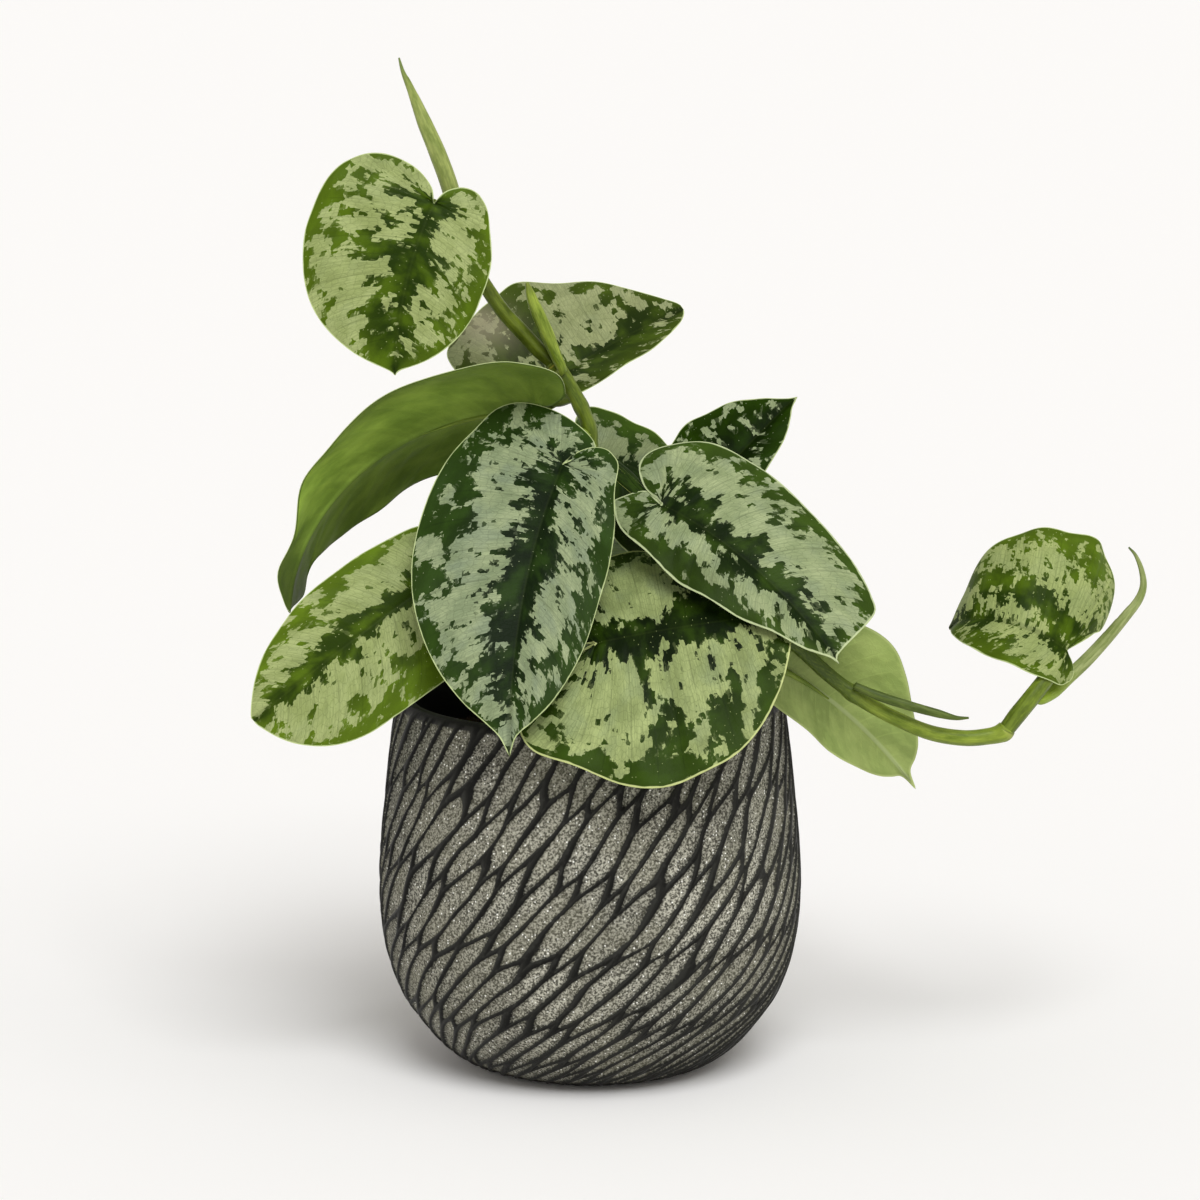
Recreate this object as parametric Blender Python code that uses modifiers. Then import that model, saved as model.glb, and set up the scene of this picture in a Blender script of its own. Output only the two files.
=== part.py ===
"""Potted satin pothos (Scindapsus pictus) in a turned stoneware cover pot.

World frame: origin at the centre of the pot's flat base, +Z up, the front of the plant faces -Y.
All design dimensions below are in millimetres; the scene is in metres.

The pot and the soil are turned profiles. Each leaf is one blade: a midrib arc with two heart-shaped
halves that fold and cup across it, thickened to a thin solid and joined to its own round stalk.
Vines, rolled new leaves and bracts are tapering tubes on smooth routes.
"""

import math

import bpy
import bmesh
import numpy as np

MM = 0.001
GAP = 0.4  # clearance left between touching pieces

# --- pot and soil -----------------------------------------------------------------------------
POT_HEIGHT = 129.0
POT_BASE_RADIUS = 36.0
POT_WALL = 5.2
POT_FLOOR = 7.0
RIM_OUTER_RADIUS = 66.6
RIM_INNER_RADIUS = 60.6
# (radius, height) down the outside of the belly, from under the rim to the foot
POT_BELLY = [
    (67.2, 126.0), (69.1, 113.5), (70.9, 97.0), (72.7, 79.0), (73.4, 65.0), (72.9, 52.0),
    (70.9, 39.0), (66.3, 26.0), (60.4, 17.0), (53.5, 8.6), (46.2, 3.0), (40.0, 0.7),
]
SOIL_TOP = 112.0
FOOT = SOIL_TOP + 1.3  # the lowest point of each vine and stalk, clear of the soil
POT_STEPS = 40

# --- plant ------------------------------------------------------------------------------------
LEAF_THICKNESS = 0.9
STALK_RADIUS = 1.5
VINE_RADIUS = 2.3

# Each leaf: base = where the stalk meets the blade, tip = end of the midrib, face = the way the
# upper side looks, arch = how far the midrib bends down (degrees), sway = how far it bends to the
# left-hand side, wl / wr = width of the left and right half (seen from above, tip ahead),
# lobe = reach of the heart lobe behind the stalk and wide = place of the full width, both as a
# part of the blade's length, end = fullness of the tip, fold / cup = angle of a half at the rib and
# how much it turns down by the margin (degrees), stalk = the route of the stalk up to the blade.
LEAVES = {
    "leaf_upper_left": dict(
        base=(-52, -15, 299), tip=(-65, -25, 242), face=(0.05, -1, 0.2), arch=20, sway=24,
        wl=26, wr=37, lobel=0.16, lober=0.15, wide=0.28, fold=5, cup=15, shr=0.06, trimr=[(-0.12, 0.12, -0.07), (0.15, 0.2, 0.02)], triml=[(-0.12, 0.2, -0.17)], endl=1.05, endr=0.7, acu=0.03),
    "leaf_upper_back": dict(
        base=(-18, 12, 232.6), tip=(33, 53, 257), face=(-0.1, -0.85, 0.5), arch=25,
        wl=42, wr=9.5, lobel=0.24, lober=0.08, widel=0.12, shl=0.12, triml=[(0.35, 0.1, 0.06), (0.03, 0.13, -0.08)], fold=5, cup=20, cupr=40, endl=0.1, endr=1.0, acu=0.0,
        stalk=[(-7.2, 3.3, 231), (-12, 9.5, 229), (-17.4, 12.8, 231.4)]),
    "leaf_left_arching": dict(
        base=(-18, -3, 228), tip=(-102, -22, 161), face=(-0.5, 0.5, 0.7), arch=95, arch_at=0.6,
        wl=35, wr=30, lobel=0.1, lober=0.06, widel=0.08, triml=[(0.8, 0.07, -0.36), (0.93, 0.05, 0.65)], trimr=[(0.8, 0.06, -0.2), (0.93, 0.055, 0.9)], shl=0.1, foldl=17, foldr=5, cup=25, endl=0.15, acu=0.02,
        stalk=[(-3.8, -2.4, 220.4), (-9.4, -4.6, 223), (-16.6, -4.2, 226.8)]),
    "leaf_front": dict(
        base=(-9, -25, 212), tip=(-26, -82, 124), face=(0, -0.84, 0.55), arch=25, sway=20,
        wl=25.8, wr=40, lobel=0.10, lober=0.20, wide=0.3, notchr=0.3, endr=0.4, endl=0.85, triml=[(0.0, 0.15, -0.16)], trimr=[(-0.06, 0.1, -0.05)],
        stalk=[(-0.6, -3.4, 200.0), (-3, -12, 205), (-8.6, -23, 210.6)]),
    "leaf_left_low": dict(
        base=(-50, -32, 175), tip=(-112, -48, 129), face=(0, -0.9, 0.4), arch=25,
        wl=31, wr=23, lobel=0.08, lober=0.15, widel=0.36, triml=[(0.45, 0.2, -0.05)], endl=1.1, endr=0.6, acu=0.0,
        stalk=[(-20, -8, FOOT), (-30, -15, 145), (-42, -24, 168), (-49, -30.6, 174.2)]),
    "leaf_right_front": dict(
        base=(24, -28, 199), tip=(82, -62, 151), face=(0.1, -0.8, 0.6), arch=30, sway=-16,
        wl=31.2, wr=22, lobel=0.22, lober=0.18, notchr=0.2, shr=-0.22, widel=0.24, endl=2.9, triml=[(0.73, 0.13, -0.06), (0.0, 0.24, 0.13), (0.95, 0.04, 0.15)],
        trimr=[(0.6, 0.25, -0.06), (0.79, 0.15, -0.13)], endr=0.5, acu=0.035,
        stalk=[(4.0, -2.6, 211.6), (10, -11, 208), (17, -19.5, 202.6), (23, -26.6, 198.6)]),
    "leaf_front_low": dict(
        base=(2, -58, 157), tip=(68, -52, 166), face=(0.05, -0.73, 0.66), arch=15,
        wl=38, wr=55, lobel=0.42, lober=0.46, wide=0.12, triml=[(0.2, 0.2, 0.12)], trimr=[(-0.3, 0.25, -0.05)], end=0.9, foldl=-12, cupl=10, foldr=0, cupr=12, acu=0.02,
        stalk=[(0, -22, FOOT), (-3, -38, 138), (0, -51, 152), (1.6, -56.6, 156.4)]),
    "leaf_centre_back": dict(
        base=(1, 16, 212), tip=(39.2, 28, 189.9), face=(0.0, -0.8, 0.6), arch=20, wl=18, wr=31, lobel=0.2, lober=0.06, wider=0.5,
        triml=[(0.4, 0.18, -0.07), (-0.14, 0.12, 0.1)], trimr=[(0.0, 0.28, -0.62)], cupr=24, stalk=[(3, 9, FOOT), (4.0, 16, 150), (2.0, 22, 196), (0.8, 17.8, 210.8)]),
    "leaf_right_back": dict(
        base=(38.4, 36, 191.8), tip=(73.8, 60, 225.3), face=(-0.3, -0.8, 0.4), arch=10, wl=24, wr=12, lobe=0.2,
        stalk=[(26, 18, FOOT), (31, 25, 150), (36.8, 33, 180), (38.2, 35.8, 190.2)]),
    "leaf_right_low": dict(
        base=(62.6, -28, 144.8), tip=(110.9, -25, 100.9), face=(0.1, 0.95, 0.2), arch=20, sway=20,
        wl=14, wr=24.5, trimr=[(0.3, 0.22, 0.19), (0.75, 0.18, -0.22)], lobel=0.06, lober=0.12, widel=0.45, wider=0.36, foldl=0, foldr=14, cup=14, end=0.9, acu=0.09,
        stalk=[(34, 2, FOOT), (42, -10, 131), (54, -22, 142), (61.0, -26.6, 144)]),
    "leaf_right_tip": dict(
        base=(161.4, -24, 148.5), tip=(123.2, -4, 152.2), face=(-0.2, -0.75, 0.65), arch=120,
        wl=15, wr=41.5, trimr=[(-0.1, 0.24, 0.1), (0.6, 0.2, -0.05)], lobel=0.12, lober=0.28, notchr=-0.16, wider=0.12, shr=0.12, endr=1.6, fold=8, cup=20),
    "leaf_rear_left": dict(
        base=(-34, 32, 171), tip=(-76, 80, 118), face=(-0.4, 0.5, 0.75), arch=45, sway=8,
        wl=30, wr=29, lobe=0.2, fold=8, cup=22,
        stalk=[(-20, 14, FOOT), (-27, 20, 145), (-32.8, 28, 165), (-34, 31.6, 169.6)]),
    "leaf_rear_centre": dict(
        base=(16, 44, 174), tip=(28, 104, 112), face=(0.05, 0.6, 0.8), arch=50, sway=-10,
        wl=25, wr=25, lobe=0.2, fold=8, cup=22,
        stalk=[(8, 24, FOOT), (10, 31, 145), (12.6, 40, 166), (15.4, 43.6, 173.2)]),
    "leaf_rear_right": dict(
        base=(45, 46, 160), tip=(77, 92, 106), face=(0.4, 0.5, 0.75), arch=45, sway=6,
        wl=26, wr=27, lobe=0.2, fold=8, cup=22,
        stalk=[(26, 34, FOOT), (34, 39, 138), (42, 45, 154), (44.6, 46, 158.6)]),
    "leaf_rear_low": dict(
        base=(-16, 46, 144), tip=(-24, 99, 86), face=(-0.1, 0.75, 0.65), arch=55, sway=-8,
        wl=25, wr=26, lobe=0.22, fold=8, cup=22,
        stalk=[(-10, 32, FOOT), (-13, 38, 130), (-15.6, 44, 141), (-16, 45.6, 142.8)]),
}

# Routes of the vines, from the soil. The leaf on a vine's end has its stalk on the same route.
VINE_UPPER = [
    (-2, 4, FOOT), (1.5, 6, 145), (2, 3.5, 185), (0.6, 0, 212), (-0.2, 0, 221), (-3, 0, 228.5),
    (-7.2, 0, 236), (-11.9, 0, 242.9), (-17.5, -1.2, 248.2), (-23.4, -3, 254.8), (-29.4, -5, 261.6), (-34.4, -7, 269.1),
    (-39.5, -8.5, 277.5), (-45, -9.8, 286.5), (-49.6, -11.6, 294.0), (-51.8, -13.4, 297.8),
]
VINE_UPPER_NODE = 7  # the ring where the end leaf's stalk and the bract start
VINE_RIGHT = [
    (14, 6, FOOT), (22, 0, 138.0), (40, -20, 158), (55, -35, 160), (68.9, -34, 152.1), (79.2, -34, 142.9),
    (88.3, -34, 135.7), (95.0, -34, 131.3), (104.2, -34, 126.5), (115.0, -34, 122.1), (126.2, -33, 120.1), (135.1, -32, 120.6),
    (139.5, -32, 121.9), (144.2, -31.8, 127.8), (149.0, -31, 133.7), (153.7, -29, 139.3), (157.7, -26.4, 144.0), (160.7, -23.6, 147.5),
]
VINE_RIGHT_NODE = 12

# Rolled new leaves and bracts: (route, radii along it)
SPEARS = {
    "new_leaf_upper": (
        [(-41.6, -2.4, 273.6), (-44.0, -2.4, 289), (-47.2, -3, 303), (-51.4, -4, 315), (-55.6, -4, 325), (-60.0, -4, 336),
         (-62.6, -4, 342), (-63.9, -4, 346.6)],
        [1.2, 2.7, 2.9, 2.8, 2.4, 1.3, 0.7, 0.3]),
    "new_leaf_right": (
        [(157.4, -22.4, 134.2), (162.6, -19.4, 138.2), (168.9, -18.4, 144.0), (175.6, -19.2, 151.8), (181.2, -21.0, 159.4),
         (185.6, -21.0, 165.3), (187.2, -21.0, 170.3), (186.4, -21.0, 175.7), (184.4, -21.0, 180.5), (182.0, -21.0, 183.3)],
        [1.0, 2.3, 2.2, 2.0, 1.8, 1.5, 1.2, 0.9, 0.6, 0.3]),
    "bract_upper": (
        [(-9.4, -4.0, 241.6), (-11.6, -4.6, 247.0), (-14.4, -5.6, 254), (-17.4, -6.4, 261), (-19.8, -6.8, 267), (-21.2, -7, 271.5)],
        [1.3, 1.6, 1.9, 1.8, 1.4, 0.5]),
    "bract_right": (
        [(88.7, -38.0, 138.9), (97.0, -38.4, 135.3), (106.9, -39, 132.2), (116.7, -39.4, 129.6), (122.7, -39.4, 128.2), (127.1, -39.2, 128.2)],
        [1.2, 1.6, 1.6, 1.4, 0.8, 0.35]),
}


# --- geometry ---------------------------------------------------------------------------------
def unit(v):
    v = np.asarray(v, float)
    return v / np.linalg.norm(v)


def smooth_curve(points, count):
    """Catmull-Rom through the points, evenly spaced in parameter."""
    p = np.asarray(points, float)
    ext = np.vstack([2 * p[0] - p[1], p, 2 * p[-1] - p[-2]])
    out = []
    for t in np.linspace(0, len(p) - 1, count):
        i = min(int(t), len(p) - 2)
        f = t - i
        a, b, c, d = ext[i], ext[i + 1], ext[i + 2], ext[i + 3]
        out.append(0.5 * (2 * b + (c - a) * f + (2 * a - 5 * b + 4 * c - d) * f * f + (3 * b - a - 3 * c + d) * f**3))
    return np.array(out)


def trapezoid(y, x):
    return np.sum((y[..., 1:] + y[..., :-1]) * 0.5 * np.diff(x), axis=-1)


def half_outline(lobe, wide, end, count, notch, shoulder, acu, trim=()):
    """Margin of one half from the stalk round the lobe to the tip, as (along / length, out / width).
    trim holds soft corrections of the width: (place along, reach, share)."""
    pts = [
        (0.0, 0.0), (-0.55 * lobe, 0.10 - notch), (-0.95 * lobe, 0.34 - 0.5 * notch), (-0.88 * lobe, 0.62 + shoulder),
        (-0.30 * lobe + 0.02, 0.87 + 0.5 * shoulder), (wide, 1.0),
    ]
    for t in (0.3, 0.52, 0.7, 0.84, 0.93):
        full = max(0.0, 1 - t ** (1.75 + 1.6 * end)) ** (0.88 - 0.18 * end)
        pts.append((wide + (1 - acu - wide) * t, full * (1 - 0.06 * t)))
    pts.append((1 - acu, 0.055 + 0.5 * acu))
    pts.append((1.0, 0.0))
    c = smooth_curve(pts, 60 * len(pts))
    for place, reach, share in trim:
        c[:, 1] *= 1 + share * np.exp(-(((c[:, 0] - place) / reach) ** 2))
    t = np.concatenate([[0], np.cumsum(np.hypot(np.diff(c[:, 0]), np.diff(c[:, 1]) * 0.33))])
    u = np.linspace(0, 1, count) * t[-1]
    return np.stack([np.interp(u, t, c[:, 0]), np.interp(u, t, c[:, 1])], 1)


class Blade:
    """A leaf blade as a bent surface. side -1 is the left half and +1 the right, from above, tip ahead."""

    def __init__(self, base, tip, face, arch=25, sway=0, twist=0, wl=30, wr=30, arch_at=0.5, fold=8, cup=20, wave=0.0, wave_n=2.5,
                 acu=0.06, stalk=None, **half):
        self.base, self.tip = np.array(base, float), np.array(tip, float)
        chord = np.linalg.norm(self.tip - self.base)
        t = (self.tip - self.base) / chord
        n = np.array(face, float)
        n = unit(n - t * (n @ t))
        b = np.cross(t, n)
        arch, sway, twist = math.radians(arch), math.radians(sway), math.radians(twist)
        s = np.linspace(0, 1, 81)
        weight = np.clip(1 + (arch_at - 0.5) * 4 * (s - 0.5), 0.05, None)
        part = np.concatenate([[0], np.cumsum((weight[1:] + weight[:-1]) / 2)])
        part /= part[-1]
        down, aside = -arch * part, sway * part
        heading = np.stack([np.cos(down) * np.cos(aside), -np.sin(aside) * np.cos(down), np.sin(down)], 1)
        rib = np.vstack([[0, 0, 0], np.cumsum((heading[1:] + heading[:-1]) / 2, axis=0)]) / 80
        end = rib[-1]
        yaw, pitch = math.atan2(end[1], end[0]), math.atan2(end[2], math.hypot(end[0], end[1]))
        rz = np.array([[math.cos(yaw), math.sin(yaw), 0], [-math.sin(yaw), math.cos(yaw), 0], [0, 0, 1]])
        ry = np.array([[math.cos(pitch), 0, math.sin(pitch)], [0, 1, 0], [-math.sin(pitch), 0, math.cos(pitch)]])
        turn = ry @ rz
        self.length = chord / np.linalg.norm(end)
        rib, heading = rib @ turn.T * self.length, heading @ turn.T
        up = np.stack([np.sin(arch * part), np.zeros(81), np.cos(arch * part)], 1) @ turn.T
        up -= heading * np.sum(up * heading, 1)[:, None]
        up /= np.linalg.norm(up, axis=1)[:, None]
        right = np.cross(heading, up)
        roll = twist * (s - 0.5)
        up = up * np.cos(roll)[:, None] + right * np.sin(roll)[:, None]
        axes = np.stack([t, b, n], 1)
        self.s, self.arch, self.acu, self.wave, self.wave_n = s, arch, acu, wave, wave_n
        self.rib, self.along, self.up = self.base + rib @ axes.T, heading @ axes.T, up @ axes.T
        self.width = {-1: wl, 1: wr}
        self.half = {}
        for side, letter in ((-1, "l"), (1, "r")):
            def pick(key, default):
                return half.get(key + letter, half.get(key, default))
            self.half[side] = dict(
                lobe=pick("lobe", 0.18), wide=pick("wide", 0.3), end=pick("end", 0.3), notch=pick("notch", 0.0),
                sh=pick("sh", 0.0), trim=pick("trim", ()), fold=math.radians(pick("fold", fold)), cup=math.radians(pick("cup", cup)))

    def frame(self, a):
        """Point, heading, right and up at part a of the rib; behind the base the rib's bend goes on."""
        a = np.asarray(a, float)
        x = np.clip(a, 0, 1)
        p, t, n = (np.stack([np.interp(x, self.s, v[:, i]) for i in range(3)], -1) for v in (self.rib, self.along, self.up))
        t /= np.linalg.norm(t, axis=-1)[..., None]
        n /= np.linalg.norm(n, axis=-1)[..., None]
        b = np.cross(t, n)
        back = np.minimum(a, 0)
        angle = -self.arch * back
        safe = np.where(np.abs(angle) < 1e-6, 1, angle)
        p = p + (t * np.sinc(angle / np.pi)[..., None] + n * ((1 - np.cos(angle)) / safe)[..., None]) * (back * self.length)[..., None]
        t2 = t * np.cos(angle)[..., None] + n * np.sin(angle)[..., None]
        n2 = n * np.cos(angle)[..., None] - t * np.sin(angle)[..., None]
        return p, t2, b, n2

    def point(self, side, along, out):
        along, out = np.asarray(along, float), np.asarray(out, float)
        p, t, b, n = self.frame(along)
        h = self.half[side]
        q = np.linspace(0, 1, 17)
        angle = h["fold"] - h["cup"] * out[..., None] * q
        x = trapezoid(np.cos(angle), q) * out * self.width[side]
        z = trapezoid(np.sin(angle), q) * out * self.width[side]
        z = z + self.wave * out**2 * np.sin(2 * math.pi * self.wave_n * along + (0 if side > 0 else 1.7))
        return p + side * x[..., None] * b + z[..., None] * n

    def grid(self, side, rows, cols, fan=0.26, bow=0.65):
        """Rows follow the side veins from the rib to the margin; the first rows fan out of the stalk's end."""
        h = self.half[side]
        o = half_outline(h["lobe"], h["wide"], h["end"], rows, h["notch"], h["sh"], self.acu, h["trim"])
        u = np.linspace(0, 1, rows)
        g = np.clip((u - fan) / (1 - fan), 0, 1)
        g = g * (0.75 + 0.25 * g)
        v = np.linspace(0, 1, cols)[None, :, None]
        start = np.stack([g, 0 * g], 1)[:, None, :]
        middle = np.stack([g + (1 - bow) * (o[:, 0] - g), bow * o[:, 1]], 1)[:, None, :]
        q = (1 - v) ** 2 * start + 2 * v * (1 - v) * middle + v**2 * o[:, None, :]
        return self.point(side, q[..., 0], q[..., 1]), q
# --- end of geometry


# --- Blender objects --------------------------------------------------------------------------
for leftover in list(bpy.data.objects):
    bpy.data.objects.remove(leftover, do_unlink=True)
bpy.context.scene.unit_settings.system = "METRIC"
bpy.context.scene.unit_settings.scale_length = 1.0

PART = bpy.data.collections.new("potted_satin_pothos")
TOOLS = bpy.data.collections.new("stalks_to_join")
for collection in (PART, TOOLS):
    bpy.context.scene.collection.children.link(collection)


def material(name, colour, roughness, metallic=0.0):
    mat = bpy.data.materials.new(name)
    mat.use_nodes = True
    shader = mat.node_tree.nodes["Principled BSDF"]
    shader.inputs["Base Color"].default_value = (*colour, 1.0)
    shader.inputs["Roughness"].default_value = roughness
    shader.inputs["Metallic"].default_value = metallic
    mat.diffuse_color = (*colour, 1.0)
    return mat


def new_object(name, data, mat, collection=PART):
    data.materials.append(mat)
    obj = bpy.data.objects.new(name, data)
    collection.objects.link(obj)
    return obj


def turned(name, profile, mat):
    """A solid of revolution. The profile runs down the outside and starts and ends on the axis."""
    mesh = bpy.data.meshes.new(name)
    mesh.from_pydata([(r * MM, 0, z * MM) for r, z in profile], [(i, i + 1) for i in range(len(profile) - 1)], [])
    obj = new_object(name, mesh, mat)
    screw = obj.modifiers.new("turn", "SCREW")
    screw.axis = "Z"
    screw.steps = screw.render_steps = POT_STEPS
    screw.use_merge_vertices = True
    screw.merge_threshold = 0.00002
    screw.use_smooth_shade = True
    return obj


def tube_curve(name, points, radii, sides):
    curve = bpy.data.curves.new(name, "CURVE")
    curve.dimensions = "3D"
    curve.bevel_depth = MM
    curve.bevel_resolution = sides // 2 - 2
    curve.use_fill_caps = True
    spline = curve.splines.new("POLY")
    spline.points.add(len(points) - 1)
    for point, p, r in zip(spline.points, points, radii):
        point.co = (*(np.asarray(p) * MM), 1.0)
        point.radius = float(r)
    return curve


def as_mesh(curve, name):
    """The tube as a closed mesh, with the doubled ring at each cap joined."""
    carrier = bpy.data.objects.new(name, curve)
    PART.objects.link(carrier)
    bpy.context.view_layer.update()
    mesh = bpy.data.meshes.new_from_object(carrier.evaluated_get(bpy.context.evaluated_depsgraph_get()))
    bpy.data.objects.remove(carrier, do_unlink=True)
    bm = bmesh.new()
    bm.from_mesh(mesh)
    bmesh.ops.remove_doubles(bm, verts=bm.verts, dist=1e-6)
    bmesh.ops.recalc_face_normals(bm, faces=bm.faces)
    bm.to_mesh(mesh)
    bm.free()
    mesh.name = name
    mesh.materials.clear()
    return mesh


def tube(name, route, radii, mat, count, sides=8, collection=PART):
    points = smooth_curve(route, count)
    at = np.linspace(0, len(route) - 1, count)
    spread = np.interp(at, np.linspace(0, len(route) - 1, len(radii)), radii)
    return new_object(name, as_mesh(tube_curve(name, points, spread, sides), name), mat, collection)


def blade_mesh(name, blade, rows=14, cols=3):
    """The open surface of the blade: both halves share the points of the rib."""
    bm = bmesh.new()
    for side in (-1, 1):
        points, _ = blade.grid(side, rows, cols)
        ring = [[bm.verts.new(p * MM) for p in row] for row in points]
        for i in range(1, rows - 1):
            for j in range(cols - 1):
                quad = [ring[i][j], ring[i + 1][j], ring[i + 1][j + 1], ring[i][j + 1]]
                bm.faces.new(quad if side < 0 else quad[::-1])
    bmesh.ops.remove_doubles(bm, verts=bm.verts, dist=2e-6)
    bmesh.ops.dissolve_degenerate(bm, edges=bm.edges, dist=1e-6)
    bmesh.ops.delete(bm, geom=[v for v in bm.verts if not v.link_faces], context="VERTS")
    mesh = bpy.data.meshes.new(name)
    bm.to_mesh(mesh)
    bm.free()
    return mesh


def leaf(name, spec, mat, stalk_route, stalk_radii):
    blade = Blade(**{**spec, **{k: 0 for k in spec if k.startswith("notch")}})
    obj = new_object(name, blade_mesh(name, blade), mat)
    solid = obj.modifiers.new("thickness", "SOLIDIFY")
    solid.thickness = LEAF_THICKNESS * MM
    solid.offset = 0.0
    # The stalk runs on under the midrib as its keel, which ties it into the blade.
    p, t, _, n = blade.frame(np.array([0.03, 0.09, 0.16]))
    keel = [tuple(p[i] - n[i] * d) for i, d in enumerate((0.5, 0.5, 0.35))]
    route = list(stalk_route) + keel
    radii = list(stalk_radii) + [stalk_radii[-1] * 0.85, stalk_radii[-1] * 0.7, 0.55]
    cutter = tube(name + "_stalk", route, radii, mat, 3 * len(route) - 4, sides=6, collection=TOOLS)
    cutter.hide_render = True
    cutter.display_type = "WIRE"
    join = obj.modifiers.new("stalk", "BOOLEAN")
    join.operation = "UNION"
    join.solver = "EXACT"
    join.use_self = True
    join.object = cutter
    return obj


# --- build ------------------------------------------------------------------------------------
POT_RIM = [(RIM_INNER_RADIUS, 126.6), (RIM_INNER_RADIUS + 0.4, 128.2), (RIM_INNER_RADIUS + 1.7, POT_HEIGHT),
           (RIM_OUTER_RADIUS - 1.7, POT_HEIGHT), (RIM_OUTER_RADIUS - 0.2, 128.2)]
POT_INSIDE = [(60.9, 122), (63.6, 113), (65.6, 97), (67.4, 79), (68.1, 65), (67.6, 52), (65.6, 39), (61.2, 27.5), (55.6, 19.6),
              (48.6, 12.4), (41.6, POT_FLOOR + 1.2), (36.0, POT_FLOOR)]
turned(
    "pot",
    [(0, POT_FLOOR)] + POT_INSIDE[::-1] + POT_RIM + POT_BELLY + [(POT_BASE_RADIUS, 0), (0, 0)],
    material("pot_stoneware", (0.10, 0.095, 0.085), 0.6),
)
soil_side = [(r - GAP, z) for r, z in POT_INSIDE[2:-1] if z < SOIL_TOP]
turned(
    "soil",
    [(0, SOIL_TOP), (40, SOIL_TOP), (59.0, SOIL_TOP - 0.8), (63.0, SOIL_TOP - 3.0)] + soil_side
    + [(36.0 - GAP, POT_FLOOR + GAP + 0.3), (0, POT_FLOOR + GAP + 0.3)],
    material("soil_peat", (0.035, 0.024, 0.017), 0.95),
)

leaf_green = material("leaf_variegated", (0.16, 0.22, 0.10), 0.45)
stem_green = material("stem_green", (0.22, 0.26, 0.05), 0.4)
for name, spec in LEAVES.items():
    if name == "leaf_upper_left":
        route, radii = VINE_UPPER[VINE_UPPER_NODE:], [2.2, 2.3, 2.3, 2.2, 2.0]
    elif name == "leaf_right_tip":
        route, radii = VINE_RIGHT[VINE_RIGHT_NODE:], [2.5, 2.6, 2.6, 2.3, 1.9]
    else:
        route, radii = spec["stalk"], [STALK_RADIUS] * 2
    if name in ("leaf_upper_left", "leaf_right_tip"):
        # it goes on in the vine's own direction, just clear of the ring at the vine's end
        vine = smooth_curve((VINE_UPPER if name == "leaf_upper_left" else VINE_RIGHT)[: -len(route) + 1], 30)
        ahead = unit(vine[-1] - vine[-2])
        route = [tuple(vine[-1] + ahead * 0.9), tuple(vine[-1] + ahead * 3.2)] + route[1:]
        radii = radii[:1] + radii
    leaf(name, spec, leaf_green, route, radii)

tube("vine_upper", VINE_UPPER[: VINE_UPPER_NODE + 1], [VINE_RADIUS + 0.2, VINE_RADIUS, VINE_RADIUS - 0.1, VINE_RADIUS - 0.1, VINE_RADIUS + 0.3],
     stem_green, 22)
tube("vine_right", VINE_RIGHT[: VINE_RIGHT_NODE + 1], [VINE_RADIUS, VINE_RADIUS, VINE_RADIUS + 0.1, VINE_RADIUS + 0.1, VINE_RADIUS + 0.5],
     stem_green, 30)
for name, (route, radii) in SPEARS.items():
    tube(name, route, radii, material(name, (0.30, 0.34, 0.07) if "new" in name else (0.13, 0.17, 0.04), 0.4), 14)
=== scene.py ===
"""Potted satin pothos: the looks.

Blades, stalks, vines, rolled leaves, bracts, soil and the pot's relief are modelled here as fine meshes that
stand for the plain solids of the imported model. Lengths in the tables are millimetres in the row frame:
origin at the centre of the pot's base, +Z up, the front of the plant faces -Y.
"""

import math

import bpy
import numpy as np
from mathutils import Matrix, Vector


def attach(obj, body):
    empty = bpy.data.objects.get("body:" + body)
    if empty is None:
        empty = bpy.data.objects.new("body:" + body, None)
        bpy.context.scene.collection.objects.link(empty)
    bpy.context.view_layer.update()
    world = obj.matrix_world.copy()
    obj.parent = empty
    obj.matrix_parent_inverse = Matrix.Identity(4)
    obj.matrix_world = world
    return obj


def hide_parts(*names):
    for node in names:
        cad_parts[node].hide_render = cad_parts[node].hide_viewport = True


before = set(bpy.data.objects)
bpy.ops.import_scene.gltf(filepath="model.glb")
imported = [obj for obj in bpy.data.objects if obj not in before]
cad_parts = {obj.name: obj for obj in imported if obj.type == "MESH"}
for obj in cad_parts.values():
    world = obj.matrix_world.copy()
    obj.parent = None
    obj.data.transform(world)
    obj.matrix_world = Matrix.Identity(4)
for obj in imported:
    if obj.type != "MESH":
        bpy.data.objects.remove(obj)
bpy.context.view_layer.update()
MM = 0.001
BODY = "root"


# ================================================================ small helpers
def srgb(r, g, b):
    """0-255 display colour to linear."""
    out = []
    for c in (r, g, b):
        c /= 255.0
        out.append(c / 12.92 if c <= 0.04045 else ((c + 0.055) / 1.055) ** 2.4)
    return (*out, 1.0)


def unit(v):
    v = np.asarray(v, float)
    return v / np.linalg.norm(v)


def smoothstep(x, lo, hi):
    t = np.clip((x - lo) / (hi - lo), 0, 1)
    return t * t * (3 - 2 * t)


def smooth_curve(points, count):
    """Catmull-Rom through the points, evenly spaced in parameter."""
    p = np.asarray(points, float)
    ext = np.vstack([2 * p[0] - p[1], p, 2 * p[-1] - p[-2]])
    out = []
    for t in np.linspace(0, len(p) - 1, count):
        i = min(int(t), len(p) - 2)
        f = t - i
        a, b, c, d = ext[i], ext[i + 1], ext[i + 2], ext[i + 3]
        out.append(0.5 * (2 * b + (c - a) * f + (2 * a - 5 * b + 4 * c - d) * f * f + (3 * b - a - 3 * c + d) * f**3))
    return np.array(out)


def trapezoid(y, x):
    return np.sum((y[..., 1:] + y[..., :-1]) * 0.5 * np.diff(x), axis=-1)


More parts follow.
